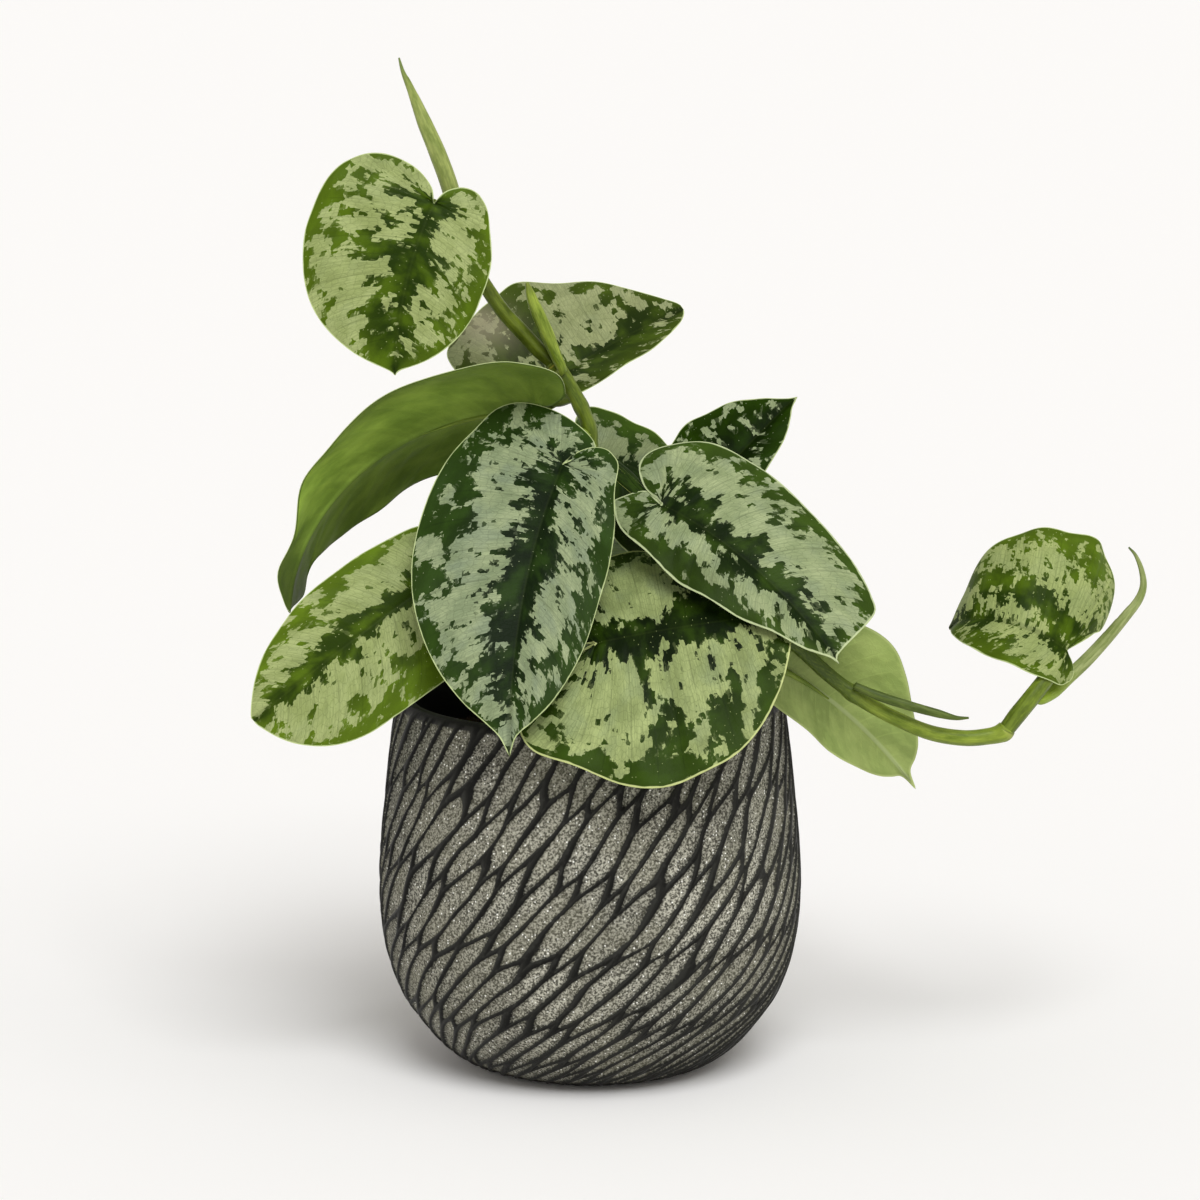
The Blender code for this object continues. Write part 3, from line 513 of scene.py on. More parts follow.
def fine_blade(name, spec, look, seed):
    """One closed blade: slot 0 is the upper skin and the margin, slot 1 the underside."""
    blade = Blade(**{**{"wave": 0.7, "wave_n": 2.3 + 0.2 * (seed % 4)}, **spec})
    v = column_places(COLS)
    fan = look.get("fan", 0.30)
    u = np.linspace(0, 1, ROWS)
    first = int(np.ceil(fan * (ROWS - 1)))
    sheets = {}
    for side in (-1, 1):
        h = blade.half[side]
        o = half_outline(h["lobe"], h["wide"], h["end"], ROWS, h["notch"], h["sh"], blade.acu, h["trim"])
        g = np.clip((u - fan) / (1 - fan), 0, 1)
        g = g ** look.get("sweep", 1.45)
        vv = v[None, :, None]
        start = np.stack([g, 0 * g], 1)[:, None, :]
        bow = 0.65
        middle = np.stack([g + (1 - bow) * (o[:, 0] - g), bow * o[:, 1]], 1)[:, None, :]
        q = (1 - vv) ** 2 * start + 2 * vv * (1 - vv) * middle + vv**2 * o[:, None, :]
        p = blade.point(side, q[..., 0], q[..., 1])
        sheets[side] = (p, q, g)

    # Y runs across the side veins, in mm: the mean gap between neighbouring rows, of both halves
    gaps = []
    for side in (-1, 1):
        p = sheets[side][0]
        move, ahead = np.diff(p, axis=0), np.diff(p, axis=1)
        ahead = ahead / np.maximum(np.linalg.norm(ahead, axis=2, keepdims=True), 1e-9)
        move = (move[:, :-1] + move[:, 1:]) / 2
        ahead = (ahead[:-1] + ahead[1:]) / 2
        across = np.linalg.norm(move - ahead * np.sum(move * ahead, axis=2, keepdims=True), axis=2)
        gaps.append(across[:, COLS // 4 : 3 * COLS // 4].mean(1))
    across_at = np.concatenate([[0], np.cumsum(np.mean(gaps, axis=0))])

    lengths = {side: np.linalg.norm(np.diff(sheets[side][0], axis=1), axis=2).sum(1) for side in (-1, 1)}
    half_reach = max(lengths[-1].max(), lengths[1].max())
    edge = np.vstack([sheets[side][0][:, -1] for side in (-1, 1)])
    fine_edge = np.vstack([edge[:-1] + (edge[1:] - edge[:-1]) * t for t in (0, 0.25, 0.5, 0.75)])
    jump = np.linalg.norm(edge[ROWS] - edge[ROWS - 1]) > 1.0
    if jump:  # the two halves' margins meet only at the tip and at the stalk
        keep = np.ones(len(edge) - 1, bool)
        keep[ROWS - 1] = False
        fine_edge = np.vstack([(edge[:-1] + (edge[1:] - edge[:-1]) * t)[keep] for t in (0, 0.25, 0.5, 0.75)])

    tops, bottoms, xy, ab, ex, tint = {}, {}, {}, {}, {}, {}
    for side in (-1, 1):
        p, q, g = sheets[side]
        along, out = q[..., 0] * blade.length, q[..., 1] * blade.width[side]
        du, dv = np.gradient(p, axis=0), np.gradient(p, axis=1)
        n = np.cross(du, dv) * side
        size = np.linalg.norm(n, axis=2, keepdims=True)
        _, _, _, plain = blade.frame(q[..., 0])
        n = np.where(size > 1e-6, n / np.maximum(size, 1e-9), plain)
        n = np.where(np.sum(n * plain, axis=2, keepdims=True) < 0, -n, n)
        n[:first + 1, :2] = plain[:first + 1, :2]
        n[-2:, :] = plain[-2:, :]
        n[:, 0] = plain[:, 0]
        reach = lengths[side][:, None] * v[None, :]
        from_rib = np.hypot(out, np.minimum(along, 0) * 0.9)
        dm = np.empty(p.shape[:2])
        for i in range(ROWS):
            dm[i] = np.sqrt(((p[i][:, None, :] - fine_edge[None]) ** 2).sum(2).min(1))
        veins = u[:, None] * look.get("veins", 15) + 0.06 * v[None, :] + 0.13 * side
        crease = np.abs((veins % 1.0) - 0.5) * 2
        groove = np.exp(-(((1 - crease) / 0.22) ** 2))
        inner = smoothstep(from_rib, 1.5, 6) * smoothstep(dm, 0.5, 7)
        swell = lattice_noise(side * reach / 11 + 40, across_at[:, None] / 9 + 0 * v[None, :], 0 * reach + seed * 3.7, seed)
        fine = lattice_noise(side * reach / 3.2 + 40, across_at[:, None] / 2.4 + 0 * v[None, :], 0 * reach + seed, seed + 50)
        relief = (0.44 * crease**0.7 - 0.24 * groove) * inner + 0.62 * swell * smoothstep(from_rib, 2, 14) + 0.06 * fine * inner
        relief += look.get("ripple", 0.35) * np.sin(u[:, None] * 2 * math.pi * 5.3 + seed + side) * smoothstep(9 - dm, 0, 9)
        channel = -0.26 * np.exp(-((from_rib / 1.5) ** 2)) * smoothstep(along, -2, 6) * (1 - 0.6 * g[:, None])
        keel = look.get("keel", 0.95) * (1 - 0.63 * g[:, None]) * np.exp(-((from_rib / 0.95) ** 2)) * smoothstep(along, -1.5, 5)
        thick = 0.12 + 0.2 * smoothstep(dm, 0, 1.6)
        tops[side] = p + n * (relief + channel + thick)[..., None]
        bottoms[side] = p + n * (relief + 0.4 * channel - thick - keel)[..., None]
        xy[side] = np.stack([side * reach, across_at[:, None] + 0 * reach, dm], 2)
        ab[side] = np.stack([from_rib, g[:, None] * blade.length + 0 * reach, v[None, :] + 0 * reach], 2)
        # The middle value of leaf_ex is painted light and shade: soft spots that brighten or darken the blade.
        ex[side] = np.stack([
            blobs_at(look.get("blobs", ()), q[..., 0], side * q[..., 1]),
            blobs_at(look.get("shade", ()), q[..., 0], side * q[..., 1]), veins], 2)
        tint[side] = blobs_at(look.get("tint", ()), q[..., 0], side * q[..., 1])

    points, index, values = [], {}, {"leaf_xy": [], "leaf_ab": [], "leaf_ex": [], "leaf_tint": []}

    def place(skin, sheet, side, i, j):
        if i == ROWS - 1:
            key = (skin, "tip")
        elif j == 0:
            key = (skin, "rib", max(i, first))
        else:
            key = (skin, side, i, j)
        if key not in index:
            index[key] = len(points)
            i2, j2 = (ROWS - 1, 0) if i == ROWS - 1 else ((max(i, first), 0) if j == 0 else (i, j))
            points.append(sheet[side][i2, j2])
            values["leaf_xy"].append(xy[side][i2, j2])
            values["leaf_ab"].append(ab[side][i2, j2])
            values["leaf_ex"].append(ex[side][i2, j2])
            values["leaf_tint"].append(tint[side][i2, j2])
        return index[key]

    faces, slots = [], []

    def face(ids, slot):
        unique = []
        for k in ids:
            if k not in unique:
                unique.append(k)
        if len(unique) > 2:
            faces.append(unique)
            slots.append(slot)

    for side in (-1, 1):
        for skin, sheet in (("top", tops), ("under", bottoms)):
            turn = (side > 0) == (skin == "top")
            for i in range(1, ROWS - 1):
                for j in range(COLS - 1):
                    ids = [place(skin, sheet, side, a, b) for a, b in ((i, j), (i + 1, j), (i + 1, j + 1), (i, j + 1))]
                    face(ids[::-1] if turn else ids, 0 if skin == "top" else 1)
        rim = [(1, j) for j in range(COLS)] + [(i, COLS - 1) for i in range(2, ROWS)]
        for (a, b), (c, d) in zip(rim, rim[1:]):
            ids = [place("top", tops, side, a, b), place("top", tops, side, c, d),
                   place("under", bottoms, side, c, d), place("under", bottoms, side, a, b)]
            face(ids if side > 0 else ids[::-1], 0)
    obj = make_mesh(name, points, faces, {k: np.array(x) for k, x in values.items()}, slots)
    return obj, blade, half_reach


# ================================================================ leaf materials
def leaf_top(name, look, seed, length):
    """Satin upper skin: silver blocks that follow the side veins, on green."""
    s = Shader(name, Roughness=0.42, Specular_IOR_Level=look.get("spec", 0.06))
    xy, ab, ex = s.attr("leaf_xy").outputs["Vector"], s.attr("leaf_ab").outputs["Vector"], s.attr("leaf_ex").outputs["Vector"]
    x, y, dm = s.split(xy)
    rib, _, v = s.split(ab)
    bias, shade, _ = s.split(ex)
    shift = 37.0 * seed
    warp_at = s.vec(s.mul(x, 1 / 2.2), s.mul(y, 1 / 1.6), shift)
    noise = s.node("ShaderNodeTexNoise", noise_dimensions="3D")
    s.put(noise.inputs["Vector"], warp_at)
    noise.inputs["Scale"].default_value = 1.0
    noise.inputs["Detail"].default_value = 2.0
    wr, wg, _ = s.split(noise.outputs["Color"])
    wx = s.add(x, s.mul(s.sub(wr, 0.5), look.get("warp", 0.6)))
    wy = s.add(y, s.mul(s.sub(wg, 0.5), look.get("warp", 0.6) * 0.6))
    block_x, block_y = look.get("block", (2.3, 1.35))

    def cells(bx, by, offset):
        at = s.vec(s.add(s.mul(wx, 1 / bx), offset), s.add(s.mul(wy, 1 / by), offset * 1.7))
        cell = s.voronoi(at, distance="CHEBYCHEV", random=0.9)
        px, py, _ = s.split(cell.outputs["Position"])
        cx = s.mul(s.sub(px, offset), bx)
        cy = s.mul(s.sub(py, offset * 1.7), by)
        return cx, cy, s.split(cell.outputs["Color"])[0]

    cx, cy, random_a = cells(block_x, block_y, 11.3 + seed)
    fx, fy, _ = cells(block_x * 0.62, block_y * 0.7, 5.1 + seed)
    big_x, big_y = look.get("patch", (5.8, 4.2))
    big = s.noise(s.vec(s.mul(cx, 1 / big_x), s.mul(cy, 1 / big_y), shift + 3), detail=1.0, rough=0.4)
    small = s.noise(s.vec(s.mul(fx, 1 / (big_x * 0.4)), s.mul(fy, 1 / (big_y * 0.36)), shift + 9), detail=1.0)
    fleck = look.get("fleck", 0.22)
    value = s.add(s.mul(big, look.get("chance", 0.9)), s.mul(small, fleck))
    value = s.add(value, 0.5 - (look.get("chance", 0.9) + fleck) / 2)
    value = s.add(value, s.mul(s.sub(random_a, 0.5), look.get("jitter", 0.10)))
    value = s.add(value, s.mul(s.math("MAXIMUM", s.math("MINIMUM", bias, 0.22), -0.28), look.get("bias", 0.72)))
    ratio = s.math("DIVIDE", s.math("ABSOLUTE", cx), s.math("MAXIMUM", s.math("ABSOLUTE", x), 0.6))
    rib_c = s.mul(rib, s.math("MINIMUM", ratio, 3.0))
    gap = s.sub(s.math("ABSOLUTE", x), s.math("ABSOLUTE", cx))
    dm_c = s.math("MAXIMUM", s.add(dm, gap), 0.0)
    dark_rib = look.get("dark_rib", 5.0)
    dark_edge = look.get("dark_edge", 5.0)
    roam = s.noise(s.vec(s.mul(cx, 0.02), s.mul(cy, 1 / 15.0), shift + 31), detail=1.0)
    reach = s.mul(rib_c, s.step(roam, 0.3, 0.7, 1.9, 0.75))
    fade = look.get("rib_span", (0.7, 1.0))
    hold = s.step(s.mul(s.split(ab)[1], 1 / length), fade[0], fade[1], look.get("rib_push", 0.14), 0.0)
    value = s.sub(value, s.mul(hold, s.step(reach, dark_rib * 0.3, dark_rib * 1.5, 1.0, 0.0)))
    stray = s.noise(s.vec(s.mul(cx, 0.05), s.mul(cy, 1 / 9.0), shift + 47), detail=1.0)
    value = s.sub(value, s.step(s.mul(dm_c, s.step(stray, 0.35, 0.7, 1.7, 0.6)), 0.2, dark_edge, look.get("edge_push", 0.07), 0.0))
    threshold = look.get("threshold", 0.515)
    silver = s.step(value, threshold - 0.004, threshold + 0.004)
    halftone = s.step(value, threshold - 0.035, threshold - 0.027)
    # colours
    green_a, green_b = look["green"]
    silver_a, silver_b = look["silver"]
    tone = s.noise(s.vec(s.mul(x, 1 / 9.0), s.mul(y, 1 / 9.0), shift + 21), detail=3.0)
    green = s.mix(s.step(v, 0.15, 0.95), srgb(*green_a), srgb(*green_b))
    green = s.mix(s.step(tone, 0.42, 0.7, 0.0, 0.5), green, srgb(*[min(255, c * 1.3) for c in green_b]))
    pale = s.mix(s.step(tone, 0.3, 0.7), srgb(*silver_a), srgb(*silver_b))
    cool = s.noise(s.vec(s.mul(x, 1 / 13.0), s.mul(y, 1 / 10.0), shift + 61), detail=2.0)
    pale = s.mix(s.step(cool, 0.45, 0.68, 0.0, look.get("cool", 0.35)), pale, srgb(*look.get("cool_colour", (124, 138, 118))))
    grain = s.noise(s.vec(s.mul(x, 1 / 0.5), s.mul(y, 1 / 0.38), shift), detail=2.0)
    pale = s.mix(s.step(grain, 0.3, 0.75, 0.16, 0.0), pale, srgb(*[c * 0.72 for c in silver_a]))
    net = s.voronoi(s.vec(s.mul(wx, 1 / 2.7), s.mul(wy, 1 / 1.35)), feature="DISTANCE_TO_EDGE").outputs["Distance"]
    lines = s.step(net, 0.02, 0.10, 1.0, 0.0)
    pale = s.mix(s.mul(lines, look.get("net", 0.2)), pale, srgb(*[c * 0.62 for c in green_b]))
    stria = s.noise(s.vec(s.mul(wx, 1 / 9.0), s.mul(wy, 1 / 0.42), shift + 71), detail=2.0, rough=0.6)
    pale = s.mix(s.step(stria, 0.36, 0.6, look.get("stria", 0.30), 0.0), pale, srgb(*[c * 0.76 for c in silver_a]))
    pale = s.mix(s.step(stria, 0.55, 0.72, 0.0, 0.25), pale, srgb(*[min(255, c * 1.07) for c in silver_b]))
    middle = s.mix(0.5, green, pale)
    skin = s.mix(s.mul(halftone, 0.32), green, middle)
    skin = s.mix(silver, skin, pale)
    dot = s.voronoi(s.vec(s.mul(x, 1 / 1.6), s.mul(y, 1 / 1.2), 0.0))
    dots = s.mul(s.step(dot.outputs["Distance"], 0.07, 0.13, 1.0, 0.0), s.step(s.split(dot.outputs["Color"])[0], 0.90, 0.92))
    skin = s.mix(s.mul(dots, 0.7), skin, srgb(*silver_b))
    # side veins, midrib and margin
    veins = s.math("FRACT", s.split(ex)[2])
    vein = s.step(s.math("ABSOLUTE", s.sub(veins, 0.5)), 0.0, 0.05, 1.0, 0.0)
    vein = s.mul(vein, s.mul(s.step(rib, 1.0, 4.0), s.step(dm, 1.0, 6.0)))
    skin = s.mix(s.mul(vein, 0.22), skin, srgb(*[c * 0.8 for c in green_a]))
    skin = s.mix(s.step(rib, 0.5, 1.6, look.get("rib_dark", 0.3), 0.0), skin, srgb(*[c * 0.7 for c in green_a]))
    skin = s.mix(s.step(rib, 0.12, 0.55, look.get("rib_pale", 0.03), 0.0), skin, srgb(*look.get("rib_colour", (112, 134, 62))))
    if "tint" in look:
        skin = s.mix(s.attr("leaf_tint").outputs["Fac"], skin, s.mix(0.55, skin, srgb(*look["tint_colour"])))
    # Painted light and shade: the leaf's second list of spots scales the colour up or down.
    light = s.add(1.0, shade)
    skin = s.mix(1.0, skin, s.vec(light, light, light), "MULTIPLY")
    wobble = s.mul(s.sub(s.noise(s.vec(s.mul(x, 0.2), s.mul(y, 0.25), shift), detail=1.0), 0.5), look.get("margin", 0.35) * 1.2)
    edge = s.step(s.add(dm, wobble), look.get("margin", 0.35) - 0.2, look.get("margin", 0.35) + 0.12, 1.0, 0.0)
    skin = s.mix(s.mul(edge, look.get("margin_mix", 0.85)), skin, srgb(*look.get("margin_colour", (196, 210, 150))))
    s.put(s.bsdf.inputs["Base Color"], skin)
    s.put(s.bsdf.inputs["Roughness"], s.step(grain, 0.2, 0.8, look.get("rough", 0.44) - 0.05, look.get("rough", 0.44) + 0.07))
    height = s.add(s.mul(grain, 0.5), s.add(s.mul(silver, 0.35), s.mul(lines, -0.5)))
    s.bump(height, 0.22, 0.00025)
    return s.mat


def leaf_under(name, look, seed):
    """Plain underside with paler raised veins."""
    s = Shader(name, Roughness=0.5, Specular_IOR_Level=0.2)
    xy, ab, ex = s.attr("leaf_xy").outputs["Vector"], s.attr("leaf_ab").outputs["Vector"], s.attr("leaf_ex").outputs["Vector"]
    x, y, dm = s.split(xy)
    rib, _, v = s.split(ab)
    _, shade, veins = s.split(ex)
    shift = 19.0 * seed
    low, high = look.get("under", ((88, 116, 46), (122, 148, 66)))
    tone = s.noise(s.vec(s.mul(x, 1 / 14.0), s.mul(y, 1 / 12.0), shift), detail=3.0, rough=0.55)
    skin = s.mix(s.step(tone, 0.3, 0.72), srgb(*low), srgb(*high))
    grain = s.noise(s.vec(s.mul(x, 1 / 0.7), s.mul(y, 1 / 0.6), shift), detail=2.0)
    skin = s.mix(s.step(grain, 0.35, 0.75, 0.10, 0.0), skin, srgb(*[c * 0.8 for c in low]))
    blotch = s.noise(s.vec(s.mul(x, 1 / 5.0), s.mul(y, 1 / 3.6), shift + 5), detail=2.0)
    skin = s.mix(s.step(blotch, 0.52, 0.62, 0.0, look.get("under_blotch", 0.10)), skin, srgb(*[min(255, c * 1.25) for c in high]))
    fract = s.math("FRACT", veins)
    vein = s.step(s.math("ABSOLUTE", s.sub(fract, 0.5)), 0.0, 0.06, 1.0, 0.0)
    vein = s.mul(vein, s.step(dm, 2.0, 9.0))
    skin = s.mix(s.mul(vein, look.get("under_vein", 0.22)), skin, srgb(*[min(255, c * 1.3) for c in high]))
    skin = s.mix(s.step(rib, 0.3, 0.95, 0.75, 0.0), skin, srgb(*look.get("under_rib", (150, 168, 92))))
    # Painted light and shade: the leaf's second list of spots scales the colour up or down.
    light = s.add(1.0, shade)
    skin = s.mix(1.0, skin, s.vec(light, light, light), "MULTIPLY")
    skin = s.mix(s.step(dm, 0.35, 0.9, 0.85, 0.0), skin, srgb(*look.get("under_margin", (186, 200, 130))))
    s.put(s.bsdf.inputs["Base Color"], skin)
    net = s.voronoi(s.vec(s.mul(x, 1 / 2.4), s.mul(y, 1 / 1.5)), feature="DISTANCE_TO_EDGE").outputs["Distance"]
    s.bump(s.add(s.mul(grain, 0.5), s.step(net, 0.0, 0.12, 1.0, 0.0)), 0.16, 0.0003)
    return s.mat


COOL = dict(green=((17, 32, 4), (50, 70, 18)), silver=((138, 152, 110), (160, 172, 132)))
WARM = dict(green=((32, 50, 2), (71, 92, 14)), silver=((143, 156, 95), (168, 180, 119)))
# blobs: where a blade is mostly green (minus) or mostly silver (plus): (along, out, reach along, reach out, amount)
# The second list of spots is painted light and shade, laid out the same way: plus brightens that part of the blade,
# minus darkens it.
LOOKS = {
    "leaf_upper_left": dict(
        WARM, cool=0.1, threshold=0.504, fleck=0.28,
        blobs=[
            # right half, from the lobe to the tip
            (-0.05, 0.45, 0.07, 0.28, 0.22), (0.06, 0.86, 0.05, 0.08, 0.2), (0.15, 0.95, 0.16, 0.12, -0.26), (0.03, 0.66, 0.03, 0.09, -0.26),
            (0.0, 0.33, 0.025, 0.24, -0.28), (0.13, 0.72, 0.025, 0.05, -0.2), (0.17, 0.48, 0.09, 0.26, 0.24), (0.12, 0.54, 0.018, 0.06, -0.26),
            (0.21, 0.34, 0.025, 0.08, -0.22), (0.33, 0.35, 0.035, 0.34, -0.34), (0.36, 0.72, 0.06, 0.08, -0.3), (0.34, 0.87, 0.09, 0.06, 0.25),
            (0.33, 1.0, 0.1, 0.06, -0.3), (0.5, 0.55, 0.13, 0.26, 0.3), (0.42, 0.22, 0.04, 0.1, 0.12), (0.52, 0.16, 0.06, 0.12, -0.3),
            (0.55, 0.93, 0.1, 0.05, -0.25), (0.66, 0.8, 0.06, 0.06, 0.2), (0.64, 0.66, 0.03, 0.07, -0.22), (0.72, 0.5, 0.14, 0.2, 0.25), (0.85, 0.5, 0.06, 0.16, 0.24),
            (0.69, 0.24, 0.06, 0.09, -0.3), (0.85, 0.15, 0.12, 0.09, -0.32), (0.97, 0.1, 0.04, 0.4, -0.3),
            # left half
            (-0.08, -0.5, 0.05, 0.2, 0.15), (0.03, -0.12, 0.05, 0.13, -0.25), (0.16, -0.42, 0.11, 0.25, 0.3), (0.08, -0.62, 0.04, 0.08, -0.22),
            (0.02, -0.9, 0.06, 0.1, -0.2), (0.2, -0.9, 0.05, 0.08, -0.15), (0.27, -0.12, 0.07, 0.07, -0.25), (0.4, -0.16, 0.075, 0.17, -0.34),
            (0.37, -0.55, 0.04, 0.1, 0.2), (0.45, -0.85, 0.16, 0.16, -0.3), (0.57, -0.32, 0.08, 0.22, 0.34), (0.68, -0.1, 0.03, 0.07, -0.25),
            (0.7, -0.56, 0.04, 0.08, -0.25), (0.78, -0.32, 0.06, 0.2, 0.22), (0.9, -0.4, 0.05, 0.1, -0.28), (0.8, 0.0, 0.1, 0.03, 0.1)]),
    "leaf_upper_back": dict(
        COOL, silver=((136, 144, 98), (159, 166, 119)), green=((28, 42, 4), (58, 74, 16)), cool=0.15, threshold=0.475, fleck=0.3,
        tint=[(0.04, -0.8, 0.14, 0.3, 1.0)], tint_colour=(166, 156, 134),
        blobs=[
            (0.45, -0.4, 0.16, 0.3, 0.3), (0.5, -0.88, 0.09, 0.1, 0.24), (0.44, -0.72, 0.035, 0.08, -0.28), (0.36, -0.42, 0.05, 0.1, -0.3),
            (0.58, -0.6, 0.06, 0.05, -0.34), (0.7, -0.5, 0.035, 0.22, -0.3), (0.72, -0.12, 0.05, 0.1, -0.28), (0.86, -0.28, 0.06, 0.08, -0.25),
            (0.77, -0.34, 0.05, 0.09, 0.2), (0.9, -0.62, 0.08, 0.05, -0.3), (0.92, -0.42, 0.05, 0.06, 0.22), (1.0, -0.1, 0.05, 0.4, -0.3),
            (0.27, -0.72, 0.08, 0.2, -0.32), (0.12, -0.45, 0.1, 0.2, -0.36), (0.07, -0.8, 0.07, 0.14, 0.2), (0.02, -0.6, 0.03, 0.12, -0.32), (0.15, -0.92, 0.04, 0.1, -0.34), (-0.05, -0.6, 0.08, 0.1, 0.2),
            (-0.03, -0.92, 0.05, 0.08, -0.2), (0.5, 0.55, 0.4, 0.5, -0.24), (0.55, 0.0, 0.1, 0.12, -0.05), (0.25, 0.4, 0.05, 0.3, 0.2), (0.82, 0.2, 0.06, 0.2, 0.2)]),
    "leaf_left_arching": dict(
        COOL, under=((102, 128, 44), (136, 162, 64)), under_margin=(70, 92, 30), under_vein=0.05, under_rib=(104, 126, 50), under_blotch=0.06,
        shade=[(0.62, -0.45, 0.26, 0.3, 0.32), (0.5, -1.0, 0.6, 0.22, -0.3), (0.25, -0.4, 0.2, 0.4, 0.1), (0.5, 0.6, 0.5, 0.4, -0.4), (0.93, 0.0, 0.12, 1.2, -0.6), (0.03, -0.45, 0.14, 0.6, -0.34), (0.72, -0.4, 0.14, 0.3, 0.24), (0.42, -0.75, 0.14, 0.2, -0.1)]),
    "leaf_front": dict(
        COOL, green=((13, 27, 5), (38, 58, 16)), silver=((127, 141, 105), (158, 170, 129)), cool=0.5, threshold=0.53, dark_rib=2.4, fleck=0.38,
        blobs=[
            (0.12, 0.78, 0.06, 0.1, -0.34), (0.3, 0.6, 0.04, 0.08, -0.2),
            # middle band
            (0.12, 0.04, 0.08, 0.09, -0.3), (0.2, -0.05, 0.06, 0.1, -0.3), (0.3, -0.1, 0.06, 0.17, -0.34), (0.38, -0.1, 0.05, 0.19, -0.34),
            (0.42, 0.06, 0.05, 0.11, -0.25), (0.5, 0.08, 0.06, 0.11, -0.3), (0.6, 0.02, 0.07, 0.14, -0.3), (0.7, 0.08, 0.05, 0.12, -0.3),
            (0.77, 0.1, 0.06, 0.05, -0.3), (0.5, -0.04, 0.1, 0.08, -0.2),
            # right half: the long silver bank, then the dark outer patches
            (0.03, 0.4, 0.06, 0.26, 0.26), (0.13, 0.42, 0.06, 0.22, 0.26), (0.23, 0.42, 0.07, 0.14, 0.28), (0.33, 0.45, 0.06, 0.2, 0.3),
            (0.42, 0.55, 0.06, 0.3, 0.28), (0.53, 0.45, 0.07, 0.16, 0.3), (0.63, 0.4, 0.07, 0.18, 0.28), (0.7, 0.5, 0.04, 0.14, 0.2),
            (-0.1, 0.22, 0.06, 0.14, 0.26), (-0.1, 0.52, 0.04, 0.07, 0.22), (-0.13, 0.4, 0.035, 0.06, -0.25), (-0.18, 0.62, 0.02, 0.08, 0.2),
            (-0.21, 0.4, 0.03, 0.3, -0.2), (-0.05, 0.7, 0.05, 0.11, -0.34), (-0.02, 0.86, 0.035, 0.04, 0.24), (0.07, 0.9, 0.06, 0.08, -0.3),
            (0.08, 0.26, 0.016, 0.16, -0.3), (0.03, 0.14, 0.02, 0.08, -0.25), (0.12, 0.72, 0.04, 0.06, 0.18), (0.17, 0.94, 0.06, 0.1, -0.25),
            (0.2, 0.68, 0.05, 0.07, -0.3), (0.22, 0.84, 0.04, 0.07, 0.3), (0.235, 0.68, 0.016, 0.05, 0.26), (0.29, 0.8, 0.035, 0.2, -0.36),
            (0.29, 0.62, 0.03, 0.08, -0.2), (0.36, 0.7, 0.035, 0.05, -0.28), (0.38, 0.86, 0.035, 0.1, 0.36), (0.49, 0.8, 0.05, 0.17, -0.34),
            (0.58, 0.72, 0.035, 0.1, 0.28), (0.56, 0.93, 0.02, 0.03, 0.2), (0.65, 0.72, 0.04, 0.16, -0.34), (0.75, 0.4, 0.022, 0.17, -0.32),
            (0.82, 0.26, 0.06, 0.14, 0.28), (0.77, 0.52, 0.03, 0.1, 0.16), (0.875, 0.22, 0.025, 0.08, -0.28), (0.55, 0.27, 0.05, 0.05, -0.16),
            # left half
            (0.02, -0.32, 0.04, 0.2, 0.22), (0.09, -0.52, 0.05, 0.14, 0.2), (0.07, -0.28, 0.03, 0.12, -0.2), (0.02, -0.88, 0.12, 0.1, -0.22),
            (0.2, -0.42, 0.07, 0.24, 0.34), (0.3, -0.55, 0.05, 0.14, 0.28), (0.26, -0.15, 0.02, 0.06, 0.2), (0.28, -0.9, 0.12, 0.12, -0.25),
            (0.45, -0.45, 0.05, 0.16, 0.34), (0.55, -0.42, 0.07, 0.2, 0.3), (0.5, -0.78, 0.06, 0.1, -0.26), (0.42, -0.82, 0.03, 0.07, 0.22),
            (0.65, -0.3, 0.06, 0.2, 0.28), (0.72, -0.14, 0.05, 0.09, 0.22), (0.69, -0.52, 0.025, 0.1, -0.25), (0.72, -0.62, 0.05, 0.05, 0.22),
            (0.76, -0.72, 0.06, 0.1, -0.25), (0.76, -0.14, 0.025, 0.025, -0.3), (0.8, -0.3, 0.05, 0.14, 0.2), (0.83, -0.44, 0.03, 0.09, -0.28),
            (0.86, -0.14, 0.03, 0.06, -0.24), (0.95, 0.0, 0.05, 0.5, 0.3), (0.88, -0.02, 0.05, 0.08, 0.2)]),
    "leaf_left_low": dict(
        WARM, green=((40, 58, 6), (80, 102, 20)), fleck=0.36, threshold=0.503, dark_rib=3.0, cool=0.1,
        blobs=[
            (0.1, 0.06, 0.08, 0.1, -0.3), (0.22, 0.08, 0.08, 0.09, -0.3), (0.35, 0.14, 0.07, 0.12, -0.32), (0.45, 0.18, 0.06, 0.14, -0.32),
            (0.55, 0.14, 0.06, 0.13, -0.3), (0.66, 0.06, 0.06, 0.11, -0.3), (0.76, 0.02, 0.06, 0.08, -0.3), (0.83, 0.0, 0.04, 0.06, -0.25),
            # right half (upper)
            (0.2, 0.9, 0.12, 0.09, -0.3), (0.16, 0.86, 0.05, 0.03, 0.2), (0.22, 0.5, 0.14, 0.22, 0.3), (0.02, 0.65, 0.08, 0.2, 0.2),
            (0.36, 0.82, 0.06, 0.1, -0.3), (0.38, 0.48, 0.07, 0.16, 0.3), (0.42, 0.92, 0.03, 0.05, 0.2), (0.45, 0.7, 0.05, 0.06, -0.22),
            (0.5, 0.86, 0.05, 0.06, 0.24), (0.57, 0.72, 0.05, 0.1, -0.28), (0.6, 0.45, 0.08, 0.14, 0.3), (0.76, 0.42, 0.1, 0.16, 0.28),
            (0.72, 0.72, 0.08, 0.08, -0.26), (0.86, 0.6, 0.06, 0.08, -0.2), (0.96, 0.2, 0.04, 0.2, 0.25), (0.1, 0.3, 0.02, 0.1, -0.12),
            # left half (lower)
            (0.28, -0.25, 0.12, 0.2, 0.32), (0.12, -0.45, 0.1, 0.25, 0.22), (0.3, -0.72, 0.1, 0.2, -0.36), (0.38, -0.46, 0.02, 0.05, -0.26),
